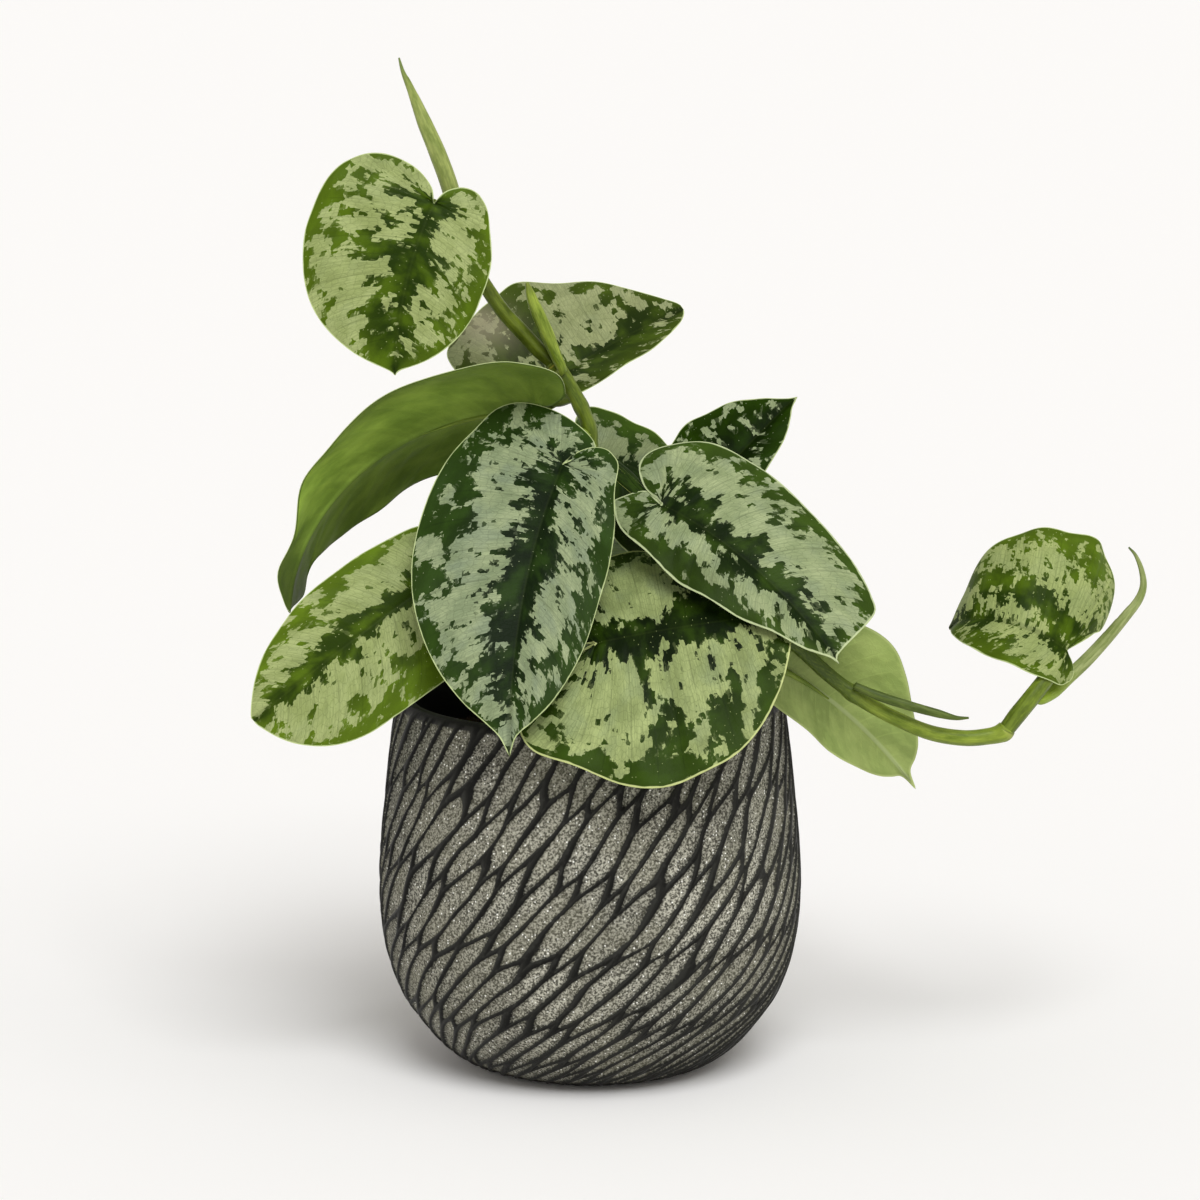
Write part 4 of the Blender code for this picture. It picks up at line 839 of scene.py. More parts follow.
            (0.5, -0.13, 0.035, 0.07, -0.3), (0.55, -0.36, 0.1, 0.16, 0.32), (0.6, -0.58, 0.035, 0.12, -0.3), (0.54, -0.68, 0.03, 0.07, 0.24),
            (0.5, -0.86, 0.06, 0.1, -0.28), (0.36, -0.93, 0.06, 0.03, 0.22), (0.66, -0.02, 0.03, 0.05, 0.1), (0.76, -0.4, 0.12, 0.22, 0.32),
            (0.88, -0.25, 0.06, 0.16, 0.26), (0.72, -0.84, 0.1, 0.12, -0.3), (0.8, -0.86, 0.02, 0.05, 0.25), (0.94, -0.1, 0.03, 0.12, -0.3),
            (0.9, -0.75, 0.05, 0.1, -0.25)]),
    "leaf_right_front": dict(
        COOL, silver=((138, 152, 108), (166, 178, 132)), margin=0.62, margin_colour=(192, 204, 156), cool=0.35, dark_rib=2.5,
        shade=[(0.45, 0.95, 0.6, 0.34, -0.46), (0.1, 0.0, 0.25, 0.12, -0.2)],
        blobs=[
            (0.08, 0.0, 0.06, 0.08, -0.3), (0.2, -0.05, 0.07, 0.07, -0.3), (0.32, -0.05, 0.06, 0.07, -0.32), (0.43, -0.08, 0.06, 0.12, -0.34),
            (0.52, 0.04, 0.06, 0.12, -0.34), (0.63, -0.04, 0.05, 0.09, -0.3), (0.73, -0.05, 0.06, 0.07, -0.3), (0.84, -0.03, 0.05, 0.07, -0.25),
            (0.5, -0.16, 0.025, 0.06, 0.25), (0.36, 0.12, 0.04, 0.06, 0.2), (0.1, 0.78, 0.07, 0.14, -0.3), (0.3, 0.85, 0.14, 0.2, -0.3),
            # right half (lower)
            (-0.05, 0.92, 0.06, 0.1, -0.22), (0.02, 0.66, 0.035, 0.09, -0.26), (0.05, 0.38, 0.05, 0.16, 0.28), (0.12, 0.62, 0.03, 0.1, 0.1),
            (0.22, 0.32, 0.09, 0.2, 0.32), (0.2, 0.85, 0.1, 0.2, -0.34), (0.29, 0.6, 0.05, 0.1, -0.25), (0.37, 0.87, 0.1, 0.14, -0.34),
            (0.4, 0.6, 0.055, 0.07, 0.38), (0.42, 0.3, 0.04, 0.12, -0.3), (0.55, 0.78, 0.1, 0.14, -0.34), (0.57, 0.38, 0.07, 0.13, 0.34),
            (0.66, 0.3, 0.06, 0.12, 0.28), (0.7, 0.72, 0.06, 0.12, -0.24), (0.78, 0.3, 0.06, 0.12, 0.28), (0.75, 0.55, 0.03, 0.09, 0.2),
            (0.8, 0.6, 0.04, 0.1, -0.24), (0.87, 0.25, 0.04, 0.14, -0.08), (0.3, 0.14, 0.03, 0.05, -0.15),
            # left half (upper)
            (0.1, -0.24, 0.06, 0.07, -0.28), (0.17, -0.2, 0.03, 0.16, -0.26), (-0.03, -0.22, 0.03, 0.05, -0.1), (0.12, -0.6, 0.14, 0.2, 0.34),
            (-0.08, -0.45, 0.08, 0.2, 0.24), (0.3, -0.45, 0.1, 0.2, 0.32), (0.0, -0.97, 0.08, 0.06, -0.3), (0.17, -0.96, 0.04, 0.04, -0.28),
            (0.32, -0.8, 0.03, 0.05, -0.3), (-0.17, -0.75, 0.05, 0.1, -0.2), (0.45, -0.45, 0.05, 0.12, 0.28), (0.47, -0.78, 0.035, 0.1, -0.32),
            (0.57, -0.5, 0.06, 0.2, 0.3), (0.63, -0.2, 0.035, 0.1, -0.28), (0.7, -0.5, 0.1, 0.22, 0.32), (0.72, -0.92, 0.06, 0.06, -0.3),
            (0.52, -0.95, 0.05, 0.04, -0.24), (0.85, -0.4, 0.06, 0.2, 0.26), (0.91, -0.5, 0.03, 0.14, -0.14), (0.98, -0.3, 0.04, 0.5, 0.3)]),
    "leaf_front_low": dict(
        WARM, green=((12, 25, 2), (43, 62, 11)), silver=((136, 149, 94), (166, 179, 118)), margin=0.6, margin_colour=(200, 208, 140), cool=0.35, bias=0.88, edge_push=0.06,
        cool_colour=(122, 138, 108),
        blobs=[
            (0.02, 0.0, 0.07, 0.13, -0.34), (0.16, 0.02, 0.07, 0.07, -0.3), (0.28, 0.0, 0.07, 0.06, -0.3), (0.23, -0.13, 0.06, 0.06, -0.26),
            (0.1, -0.17, 0.05, 0.06, -0.25), (0.45, -0.1, 0.08, 0.12, -0.34), (0.57, -0.2, 0.09, 0.2, -0.36), (0.72, -0.15, 0.1, 0.16, -0.36),
            (0.66, 0.03, 0.06, 0.05, -0.2), (0.5, 0.08, 0.05, 0.04, -0.15),
            # left half (upper)
            (0.28, -0.45, 0.14, 0.28, 0.34), (0.12, -0.4, 0.08, 0.2, 0.26), (0.25, -0.72, 0.12, 0.16, 0.26), (0.55, -0.6, 0.1, 0.2, -0.2),
            # right half (lower)
            (0.06, 0.38, 0.12, 0.2, 0.34), (-0.12, 0.45, 0.12, 0.2, 0.32), (0.2, 0.16, 0.02, 0.12, -0.4), (0.13, 0.1, 0.02, 0.08, -0.3), (0.27, 0.12, 0.03, 0.05, -0.3), (0.02, 0.75, 0.05, 0.1, 0.3),
            (-0.1, 0.72, 0.04, 0.07, -0.3), (-0.15, 0.88, 0.09, 0.12, -0.5), (-0.28, 0.55, 0.03, 0.1, -0.2), (-0.24, 0.7, 0.03, 0.1, -0.25), (-0.1, 0.9, 0.03, 0.04, 0.1), (0.04, 0.95, 0.08, 0.05, -0.3),
            (0.22, 0.68, 0.05, 0.06, -0.28), (0.14, 0.6, 0.05, 0.1, 0.2), (0.28, 0.52, 0.03, 0.04, -0.28), (0.33, 0.64, 0.03, 0.08, -0.3),
            (0.24, 0.9, 0.14, 0.08, -0.34), (-0.05, 0.97, 0.12, 0.05, -0.34), (0.0, 0.9, 0.03, 0.04, 0.2), (0.42, 0.38, 0.12, 0.18, 0.34), (0.42, 0.68, 0.03, 0.09, 0.3), (0.43, 0.86, 0.035, 0.07, 0.25),
            (0.55, 0.68, 0.06, 0.11, -0.42), (0.64, 0.88, 0.06, 0.08, -0.32), (0.63, 0.5, 0.02, 0.13, -0.32), (0.52, 0.8, 0.02, 0.04, 0.15),
            (0.66, 0.62, 0.03, 0.08, 0.2), (0.74, 0.28, 0.09, 0.15, 0.36), (0.66, 0.72, 0.025, 0.08, 0.25), (0.78, 0.47, 0.035, 0.16, -0.4), (0.72, 0.44, 0.025, 0.08, 0.22),
            (0.85, 0.28, 0.04, 0.08, -0.22), (0.86, 0.08, 0.06, 0.08, 0.25), (0.6, 0.24, 0.05, 0.08, 0.2), (0.62, 0.08, 0.06, 0.025, 0.1)],
        shade=[(0.0, 0.5, 0.35, 0.35, 0.06), (0.62, -0.3, 0.2, 0.4, -0.15)]),
    # Painted shade: this blade's dark greens and its darkened right half stand for the deep shade in the gap behind the
    # front leaves.
    "leaf_centre_back": dict(
        COOL, green=((22, 38, 6), (52, 74, 16)), silver=((120, 132, 92), (142, 152, 110)), dark_rib=0.5, bias=1.0,
        blobs=[(0.1, -0.25, 0.2, 0.18, 0.3), (0.4, -0.3, 0.06, 0.2, 0.28), (0.28, -0.42, 0.03, 0.2, -0.3), (0.52, -0.4, 0.04, 0.3, -0.3), (0.62, -0.4, 0.04, 0.2, 0.28), (-0.05, -0.85, 0.2, 0.12, -0.28), (0.3, -0.88, 0.25, 0.1, -0.3), (0.33, -0.5, 0.03, 0.08, -0.3),
               (0.2, -0.62, 0.06, 0.08, -0.3), (0.12, -0.72, 0.05, 0.06, 0.25), (0.42, -0.6, 0.06, 0.06, 0.25), (0.4, 0.3, 0.6, 0.22, -0.5), (0.4, 0.8, 0.6, 0.4, -0.5)],
        shade=[(0.5, 0.75, 0.6, 0.4, -0.8), (0.3, 0.16, 0.3, 0.1, 0.3)]),
    "leaf_right_back": dict(
        COOL, green=((12, 26, 0), (30, 50, 2)), threshold=0.6, cool=0.1, spec=0.03,
        blobs=[(0.58, 0.3, 0.09, 0.35, 0.3), (0.8, 0.55, 0.06, 0.25, 0.28), (0.45, 0.6, 0.05, 0.3, 0.25), (0.62, -0.3, 0.03, 0.08, 0.3),
               (0.68, -0.62, 0.035, 0.1, 0.26), (0.84, -0.24, 0.025, 0.07, 0.26), (0.5, -0.05, 0.04, 0.08, 0.26), (0.47, -0.62, 0.02, 0.06, 0.22),
               (0.68, 0.1, 0.03, 0.3, -0.2)]),
    "leaf_right_low": dict(
        COOL, under=((138, 157, 84), (164, 181, 104)), under_rib=(172, 186, 128), under_margin=(176, 190, 120), under_vein=0.10, keel=0.45,
        shade=[(0.4, 0.75, 0.35, 0.4, 0.16), (0.1, 0.0, 0.15, 0.5, -0.25), (0.97, 0, 0.06, 1.0, -0.5)]),
    "leaf_right_tip": dict(
        WARM, silver=((142, 156, 94), (162, 174, 110)), cool=0.12, bias=0.85, block=(1.8, 1.1), patch=(4.2, 3.0), fleck=0.36, threshold=0.5,
        shade=[(0.6, 0.6, 0.5, 0.4, 0.06), (0.1, 0.8, 0.2, 0.25, 0.1)],
        blobs=[
            (0.08, 0.2, 0.1, 0.08, -0.32), (0.25, 0.26, 0.08, 0.1, -0.3), (0.42, 0.34, 0.08, 0.1, -0.32), (0.6, 0.36, 0.09, 0.08, -0.32),
            (0.78, 0.38, 0.08, 0.07, -0.3), (0.05, 0.48, 0.12, 0.14, 0.3), (0.3, 0.6, 0.07, 0.14, 0.32), (0.42, 0.6, 0.05, 0.12, 0.26),
            (0.64, 0.58, 0.08, 0.09, 0.3), (0.52, 0.6, 0.02, 0.1, -0.1), (0.02, 0.8, 0.12, 0.14, -0.3), (0.1, 0.66, 0.05, 0.04, 0.25),
            (0.08, 0.88, 0.03, 0.05, 0.24), (0.26, 0.9, 0.06, 0.12, -0.3), (0.45, 0.95, 0.12, 0.08, -0.25), (0.62, 0.85, 0.07, 0.06, -0.25),
            (-0.12, 0.8, 0.03, 0.12, 0.26), (0.85, 0.22, 0.1, 0.1, 0.3), (0.72, 0.12, 0.06, 0.05, 0.12), (0.4, 0.06, 0.16, 0.07, 0.3),
            (0.5, 0.24, 0.2, 0.03, -0.12), (0.82, 0.62, 0.06, 0.06, 0.2),
            (0.18, -0.45, 0.1, 0.35, 0.3), (0.3, -0.25, 0.1, 0.25, 0.22), (0.1, -0.2, 0.04, 0.1, -0.26), (0.4, -0.5, 0.04, 0.12, -0.26),
            (0.55, -0.6, 0.06, 0.2, -0.26), (0.5, -0.2, 0.08, 0.15, 0.24), (0.9, -0.4, 0.08, 0.25, -0.3), (0.72, -0.3, 0.05, 0.2, 0.15),
            (0.45, -0.9, 0.4, 0.1, -0.2)]),
    "leaf_rear_left": dict(COOL),
    "leaf_rear_centre": dict(WARM),
    "leaf_rear_right": dict(COOL),
    "leaf_rear_low": dict(WARM),
}

BLADES = {}
for number, (name, spec) in enumerate(LEAVES.items()):
    look = LOOKS[name]
    stalk_free = {k: w for k, w in spec.items() if k != "stalk"}
    blade_obj, blade, reach = fine_blade(name + "_blade", stalk_free, look, number + 1)
    blade_obj.data.materials.append(leaf_top(name + "_upper_skin", look, number + 1, blade.length))
    blade_obj.data.materials.append(leaf_under(name + "_underside", look, number + 1))
    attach(blade_obj, BODY)
    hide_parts(name)
    BLADES[name] = blade


# ================================================================ stems
def sweep(name, route, radii, count, sides=20, shape=None, flat=None, tip_round=True):
    """A closed tube on a smooth route. shape(t, angle) scales the radius; flat = (scale on the first axis, first axis)."""
    centre = smooth_curve(route, count)
    at = np.linspace(0, len(route) - 1, count)
    spread = np.interp(at, np.linspace(0, len(route) - 1, len(radii)), radii)
    along = np.concatenate([[0], np.cumsum(np.linalg.norm(np.diff(centre, axis=0), axis=1))])
    heading = np.gradient(centre, axis=0)
    heading /= np.linalg.norm(heading, axis=1)[:, None]
    first = np.zeros_like(centre)
    a = unit(np.cross(heading[0], (0.3, 1.0, 0.2) if flat is None else flat[1]))
    a = unit(np.cross(a, heading[0])) if flat is not None else a
    for i in range(count):
        a = unit(a - heading[i] * (a @ heading[i]))
        first[i] = a
    second = np.cross(heading, first)
    angle = np.linspace(0, 2 * math.pi, sides, endpoint=False)
    rings, info = [], []
    for i in range(count):
        t = i / (count - 1)
        r = spread[i] * (np.ones(sides) if shape is None else shape(t, angle, along[i]))
        squash = 1.0 if flat is None else flat[0]
        ring = centre[i] + first[i] * (r * np.cos(angle) * squash)[:, None] + second[i] * (r * np.sin(angle))[:, None]
        rings.append(ring)
        info.append(np.stack([np.full(sides, along[i]), angle, np.full(sides, t)], 1))
    points = [p for ring in rings for p in ring]
    values = [q for row in info for q in row]
    faces = []
    for i in range(count - 1):
        for j in range(sides):
            k = (j + 1) % sides
            faces.append((i * sides + j, i * sides + k, (i + 1) * sides + k, (i + 1) * sides + j))
    for end, ring_at, sign in ((0, 0, -1), (1, count - 1, 1)):
        tip = len(points)
        points.append(centre[ring_at] + heading[ring_at] * spread[ring_at] * 0.35 * sign)
        values.append(np.array([along[ring_at], 0.0, float(end)]))
        for j in range(sides):
            k = (j + 1) % sides
            ring = (ring_at * sides + j, ring_at * sides + k)
            faces.append((*ring[::-1], tip) if end == 0 else (*ring, tip))
    return make_mesh(name, points, faces, {"stem": np.array(values)})


def stem_skin(name, low, high, streak=0.3, node_at=(), node_colour=(168, 168, 82), rough=0.44, fade=None, start=None, edges=None, shine=0.26):
    """Smooth green stem: lengthwise streaks, paler rings at the nodes. fade = (colour, from, to) along the part's length."""
    s = Shader(name, Roughness=rough, Specular_IOR_Level=shine)
    along, angle, t = s.split(s.attr("stem").outputs["Vector"])
    place = s.vec(s.mul(s.math("COSINE", angle), 2.6), s.mul(s.math("SINE", angle), 2.6), s.mul(along, 0.045))
    lines = s.noise(place, scale=1.6, detail=3.0, rough=0.6)
    cloud = s.noise(s.vec(s.math("COSINE", angle), s.math("SINE", angle), s.mul(along, 0.11)), detail=2.0)
    skin = s.mix(s.step(cloud, 0.3, 0.7), srgb(*low), srgb(*high))
    skin = s.mix(s.step(lines, 0.35, 0.7, streak, 0.0), skin, srgb(*[c * 0.7 for c in low]))
    if fade:
        skin = s.mix(s.step(t, fade[1], fade[2]), skin, srgb(*fade[0]))
    if start:
        skin = s.mix(s.step(t, start[1], start[2], 1.0, 0.0), skin, srgb(*start[0]))
    if edges:
        side = s.math("ABSOLUTE", s.math("SINE", angle))
        skin = s.mix(s.step(side, 0.985, 0.998), skin, srgb(*edges))
    for place_mm, width in node_at:
        ring = s.step(s.math("ABSOLUTE", s.sub(along, place_mm)), 0.0, width, 0.8, 0.0)
        skin = s.mix(ring, skin, srgb(*node_colour))
        cut = s.step(s.math("ABSOLUTE", s.sub(along, place_mm + width * 0.5)), 0.0, 0.35, 0.55, 0.0)
        skin = s.mix(cut, skin, srgb(*[c * 0.45 for c in low]))
    fine = s.noise(s.vec(s.mul(s.math("COSINE", angle), 5.0), s.mul(s.math("SINE", angle), 5.0), s.mul(along, 0.6)), detail=2.0)
    skin = s.mix(s.step(fine, 0.4, 0.75, 0.0, 0.12), skin, srgb(*[min(255, c * 1.3) for c in high]))
    s.put(s.bsdf.inputs["Base Color"], skin)
    s.bump(s.add(lines, s.mul(fine, 0.4)), 0.25, 0.0003)
    return s.mat


def dress(obj, mat, nodes):
    obj.data.materials.append(mat)
    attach(obj, BODY)
    if nodes:
        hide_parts(*nodes)
    return obj


def grown(route, radii, into=6.0, foot=None):
    """The route with its start carried on: down into the soil, or back into the vine that it leaves."""
    a, b = np.array(route[0], float), np.array(route[1], float)
    if foot:
        start = (a[0] - (b[0] - a[0]) * 0.12, a[1] - (b[1] - a[1]) * 0.12, SOIL_TOP - 5)
    else:
        start = tuple(a - unit(b - a) * into)
    return [start] + list(route), [radii[0]] + list(radii)


STALK_GREEN = stem_skin("stalk_skin", (92, 116, 34), (134, 152, 56), 0.25)


def reach_of(route, index):
    """Length in mm of the smooth route up to one of its points."""
    centre = smooth_curve(route, 40 * (len(route) - 1) + 1)
    return float(np.linalg.norm(np.diff(centre[: 40 * index + 1], axis=0), axis=1).sum())


def collared(points, node, radii):
    """A vine up to its end node, carried just past it as a collar round the next stretch."""
    route, radii = grown(points[: node + 1], radii, foot=True)
    ahead = unit(np.array(points[node + 1], float) - np.array(points[node], float))
    at = reach_of(route, len(route) - 1)
    return route + [tuple(np.array(points[node]) + ahead * 1.9)], radii + [radii[-1] * 0.94], at


UPPER_ROUTE, UPPER_RADII, UPPER_AT = collared(VINE_UPPER, VINE_UPPER_NODE, [2.6, 2.4, 2.3, 2.3, 2.35, 2.45, 2.6, 2.95])
RIGHT_ROUTE, RIGHT_RADII, RIGHT_AT = collared(
    VINE_RIGHT, VINE_RIGHT_NODE, [2.4, 2.3, 2.3, 2.3, 2.4, 2.4, 2.4, 2.4, 2.4, 2.5, 2.6, 2.75, 3.15])
VINE_GREEN = stem_skin("vine_skin", (72, 90, 12), (114, 131, 36), 0.3, node_at=((UPPER_AT + 0.8, 0.9),), node_colour=(186, 172, 70))
# The right vine's first stretch is darker: painted shade where it runs among the leaves.
VINE_GREEN_RIGHT = stem_skin("vine_right_skin", (94, 116, 22), (142, 160, 54), 0.3, node_at=((RIGHT_AT + 0.8, 0.8),), node_colour=(150, 160, 70),
                             start=((66, 84, 26), 0.42, 0.62))
END_GREEN = stem_skin("end_stalk_skin", (68, 82, 10), (108, 124, 32), 0.3)
SHEATH_GREEN = stem_skin("sheath_skin", (24, 40, 8), (46, 68, 14), 0.35, rough=0.5, edges=(158, 166, 88), shine=0.08)
END_GREEN_RIGHT = stem_skin("end_stalk_right_skin", (82, 100, 20), (122, 142, 42), 0.35)


def ribbed(t, angle, along):
    return 1 + 0.035 * np.cos(angle * 6 + along * 0.03) + 0.02 * np.cos(angle * 11 + 1)


def knuckle(places):
    def shape(t, angle, along):
        bulge = sum(h * math.exp(-(((along - p) / w) ** 2)) for p, w, h in places)
        return ribbed(t, angle, along) * (1 + bulge)
    return shape


for name, spec in LEAVES.items():
    blade = BLADES[name]
    p, t, _, n = blade.frame(np.array([0.0, 0.03, 0.09, 0.2, 0.34]))
    keel = [tuple(p[i] - n[i] * d) for i, d in enumerate((2.2, 2.0, 1.55, 1.1, 0.7))]
    if name == "leaf_upper_left":
        route, radii = VINE_UPPER[VINE_UPPER_NODE - 1:-1], [1.8, 2.5, 2.75, 2.7, 2.6, 2.5, 2.4, 2.3, 2.2]
        mat, base = END_GREEN, 1.9
    elif name == "leaf_right_tip":
        route, radii = VINE_RIGHT[VINE_RIGHT_NODE - 1:-1], [1.8, 2.7, 3.0, 2.95, 2.8, 2.4]
        mat, base = END_GREEN_RIGHT, 1.9
    else:
        foot = spec["stalk"][0][2] < SOIL_TOP + 4
        route, radii = grown(spec["stalk"][:-1], [1.75, 1.6], 4.0, foot)
        mat, base = SHEATH_GREEN if name == "leaf_right_front" else STALK_GREEN, 1.5
    radii = list(np.interp(np.linspace(0, 1, len(route)), np.linspace(0, 1, len(radii)), radii))
    route = list(route) + keel
    radii = radii + [base * 0.9, base * 0.85, base * 0.7, 0.75, 0.35]
    stalk = sweep(name + "_stalk", route, radii, 12 * len(route), 18, shape=ribbed)
    dress(stalk, mat, ())

upper = sweep("vine_upper_stem", UPPER_ROUTE, UPPER_RADII, 150, 22,
              shape=knuckle([(reach_of(UPPER_ROUTE, 4), 3.0, 0.14), (reach_of(UPPER_ROUTE, 5), 2.6, 0.12), (reach_of(UPPER_ROUTE, 6), 2.4, 0.12),
                             (UPPER_AT, 1.6, 0.06)]))
dress(upper, VINE_GREEN, ("vine_upper",))
right = sweep("vine_right_stem", RIGHT_ROUTE, RIGHT_RADII, 190, 22, shape=knuckle([(reach_of(RIGHT_ROUTE, 7), 2.6, 0.2), (RIGHT_AT, 1.6, 0.05)]))
dress(right, VINE_GREEN_RIGHT, ("vine_right",))


def rolled(t, angle, along):
    """A leaf still rolled up: the skin overlaps itself along one line."""
    return 0.93 + 0.17 * ((angle + 0.35 * along / 10) % (2 * math.pi)) / (2 * math.pi)


def pressed(t, angle, along):
    """A dried sheath: a keel on one side."""
    return 1 + 0.14 * np.cos(angle) + 0.06 * np.cos(3 * angle)


NEW_GREEN = stem_skin("rolled_leaf_skin", (122, 138, 64), (164, 175, 98), 0.36, fade=((104, 122, 66), 0.8, 1.0), rough=0.45)
NEW_GREEN_RIGHT = stem_skin("rolled_leaf_right_skin", (122, 138, 70), (166, 176, 116), 0.4, fade=((76, 94, 44), 0.86, 1.0),
                            start=((126, 150, 34), 0.16, 0.36), rough=0.45)
BRACT = stem_skin("bract_skin", (96, 118, 20), (156, 174, 66), 0.45, fade=((112, 124, 50), 0.8, 1.0), rough=0.44)
BRACT_DARK = stem_skin("bract_right_skin", (62, 80, 20), (98, 114, 44), 0.4, rough=0.5)
for name, mat, shape, slot_name, sides in (
    ("new_leaf_upper", NEW_GREEN, rolled, "new_leaf", 28), ("new_leaf_right", NEW_GREEN_RIGHT, rolled, "new_leaf", 28),
    ("bract_upper", BRACT, pressed, "stem", 20), ("bract_right", BRACT_DARK, pressed, "stem", 20),
):
    route, radii = SPEARS[name]
    if name == "new_leaf_right":
        route, radii = [(150.2, -30.6, 133.2), (152.6, -28.4, 132.6)] + route, [1.2, 2.0] + [2.5] + radii[1:]
    elif name == "new_leaf_upper":
        route, radii = [(-35.6, -7.6, 270.6), (-38.4, -5.6, 272.4)] + [(-40.9, -3.4, 275.8)] + route[1:], [1.0, 1.9, 2.3] + radii[1:]
    elif name == "bract_upper":
        route, radii = [(-11.4, -1.0, 240.4)] + route, [1.2] + [1.25 * r for r in radii]
    piece = sweep(name + "_piece", route, radii, 90, sides, shape=shape)
    dress(piece, mat, (name,))

# the winged sheath along the stalk of the right front leaf
wing = sweep("leaf_right_front_sheath", [(1.6, -2.8, 214.2), (6.0, -7.6, 211.0), (11.6, -14.4, 206.6), (17.0, -20.8, 202.2), (20.8, -25.0, 199.8)],
             [1.2, 3.0, 3.7, 3.0, 1.2], 60, 20, flat=(0.3, (0.35, -0.75, 0.5)))
dress(wing, SHEATH_GREEN, ())


# ================================================================ the pot: a net of raised slanting ridges on a rough ground
COLUMNS = 760
CELL_COLUMNS = 98  # columns of long cells round the pot; neighbours are set half a cell apart
CELL_RUN = 66.0  # from one cell of a column to the next, along the slant


def slope_at(z):
    """Mean slant of the ridges from the horizontal, in radians."""
    return np.radians(np.interp(z, (0, 20, 50, 80, 115, 129), (33, 37, 47, 54, 58, 59)))


def net_relief(phase, along, spacing):
    """Distance in mm to the middle of the nearest ridge, and if it is the ridge's upper left flank; the ridges part long cells."""
    rng = np.random.default_rng(41)
    shake = rng.uniform(-1, 1, (CELL_COLUMNS, 16, 2))
    tall = 2 * math.sqrt(3)
    mm_x, mm_y = spacing, CELL_RUN / tall
    x = phase + 0.5 * lattice_noise(phase / 2.45, along / 24.0 + 40, 0 * along, 7) + 0.12 * lattice_noise(phase / 0.98, along / 9.0 + 90, 0 * along, 8)
    y = along / CELL_RUN * tall
    column, row = np.floor(x), np.floor(y / tall)
    seeds, far = [], []
    for dx in range(-3, 5):
        for dy in range(-2, 3):
            i, j = column + dx, row + dy
            jitter = shake[(i % CELL_COLUMNS).astype(int), (j + 5).astype(int) % 16]
            sx = i + 0.24 * jitter[..., 0]
            sy = (j + 0.5 * (i % 2)) * tall + 0.55 * jitter[..., 1]
            seeds.append((sx, sy))
            far.append((x - sx) ** 2 + (y - sy) ** 2)
    far = np.array(far)
    own = np.argmin(far, 0)
    sx, sy = np.array([p[0] for p in seeds]), np.array([p[1] for p in seeds])
    near = np.take_along_axis(far, own[None], 0)[0]
    own_x, own_y = np.take_along_axis(sx, own[None], 0)[0], np.take_along_axis(sy, own[None], 0)[0]
    pull = np.zeros(x.shape)
    for k in range(len(seeds)):
        gap = 2 * np.hypot((sx[k] - own_x) / mm_x, (sy[k] - own_y) / mm_y)
        reach = np.where(gap > 0, (far[k] - near) / np.where(gap > 0, gap, 1), 1e3)
        pull += np.exp(-2.6 * np.minimum(reach, 30))
    other = np.argmin(np.where(np.arange(len(seeds))[:, None, None] == own[None], 1e9, far), 0)
    left = np.take_along_axis(sx, other[None], 0)[0] > own_x
    return -np.log(np.maximum(pull, 1e-9)) / 2.6, left


belly = smooth_curve([(RIM_OUTER_RADIUS - 0.2, 127.6)] + POT_BELLY + [(37.6, 0.25)], 900)
steps = np.concatenate([[0], np.cumsum(np.hypot(np.diff(belly[:, 0]), np.diff(belly[:, 1])))])
ROWS_OUT = 108
want = np.linspace(0, steps[-1], ROWS_OUT)
side = np.stack([np.interp(want, steps, belly[:, 0]), np.interp(want, steps, belly[:, 1])], 1)
heights = np.linspace(0, 129, 400)
radii_at = np.interp(heights, belly[::-1, 1], belly[::-1, 0])
twist = np.concatenate([[0], np.cumsum((1 / np.tan(slope_at(heights)) / radii_at)[:-1] * np.diff(heights))])
run = np.concatenate([[0], np.cumsum((1 / np.sin(slope_at(heights)))[:-1] * np.diff(heights))])

column = np.arange(COLUMNS) * 2 * math.pi / COLUMNS
z_rows = side[:, 1]
theta_flat = np.repeat(column[None, :], ROWS_OUT, 0)
turn_rows = np.interp(z_rows, heights, twist)
run_rows = np.interp(z_rows, heights, run)
tall = np.ones((1, COLUMNS))
spacing_rows = 2 * math.pi * side[:, 0] * np.sin(slope_at(z_rows)) / CELL_COLUMNS
distance, left_flank = net_relief(theta_flat / (2 * math.pi) * CELL_COLUMNS, run_rows[:, None] * tall, spacing_rows[:, None] * tall)
world_theta = theta_flat + turn_rows[:, None]
ripple_at = (np.cos(world_theta) * 9, np.sin(world_theta) * 9, np.repeat(z_rows[:, None], COLUMNS, 1) / 7.5)
width_wave = 1 + 0.42 * lattice_noise(*ripple_at, 3)
half_width = np.minimum(0.88 * width_wave * (1 + 0.3 * smoothstep(z_rows, 106, 122)[:, None]), 0.29 * spacing_rows[:, None])
crown = np.clip((half_width + 0.3 - distance) / 0.75, 0, 1)
crown = crown * crown * (3 - 2 * crown)
body = smoothstep(127.4 - z_rows, 0.1, 1.5)[:, None] * smoothstep(z_rows, 0.1, 1.6)[:, None]
grit = lattice_noise(np.cos(world_theta) * 95, np.sin(world_theta) * 95, np.repeat(z_rows[:, None], COLUMNS, 1) * 1.3, 5)
depth = (-1.0 * (1 - crown) - 0.22 * np.clip(distance / half_width, 0, 1) ** 2 * crown) * body + 0.13 * grit * (1 - crown) * body
normal = np.gradient(side, axis=0)
normal = np.stack([-normal[:, 1], normal[:, 0]], 1)
normal /= np.linalg.norm(normal, axis=1)[:, None]
normal *= np.where(normal[:, :1] < 0, -1, 1)
radius_all = side[:, 0][:, None] + normal[:, 0][:, None] * depth
height_all = side[:, 1][:, None] + normal[:, 1][:, None] * depth
outer = np.stack([radius_all * np.cos(world_theta), radius_all * np.sin(world_theta), height_all], 2)

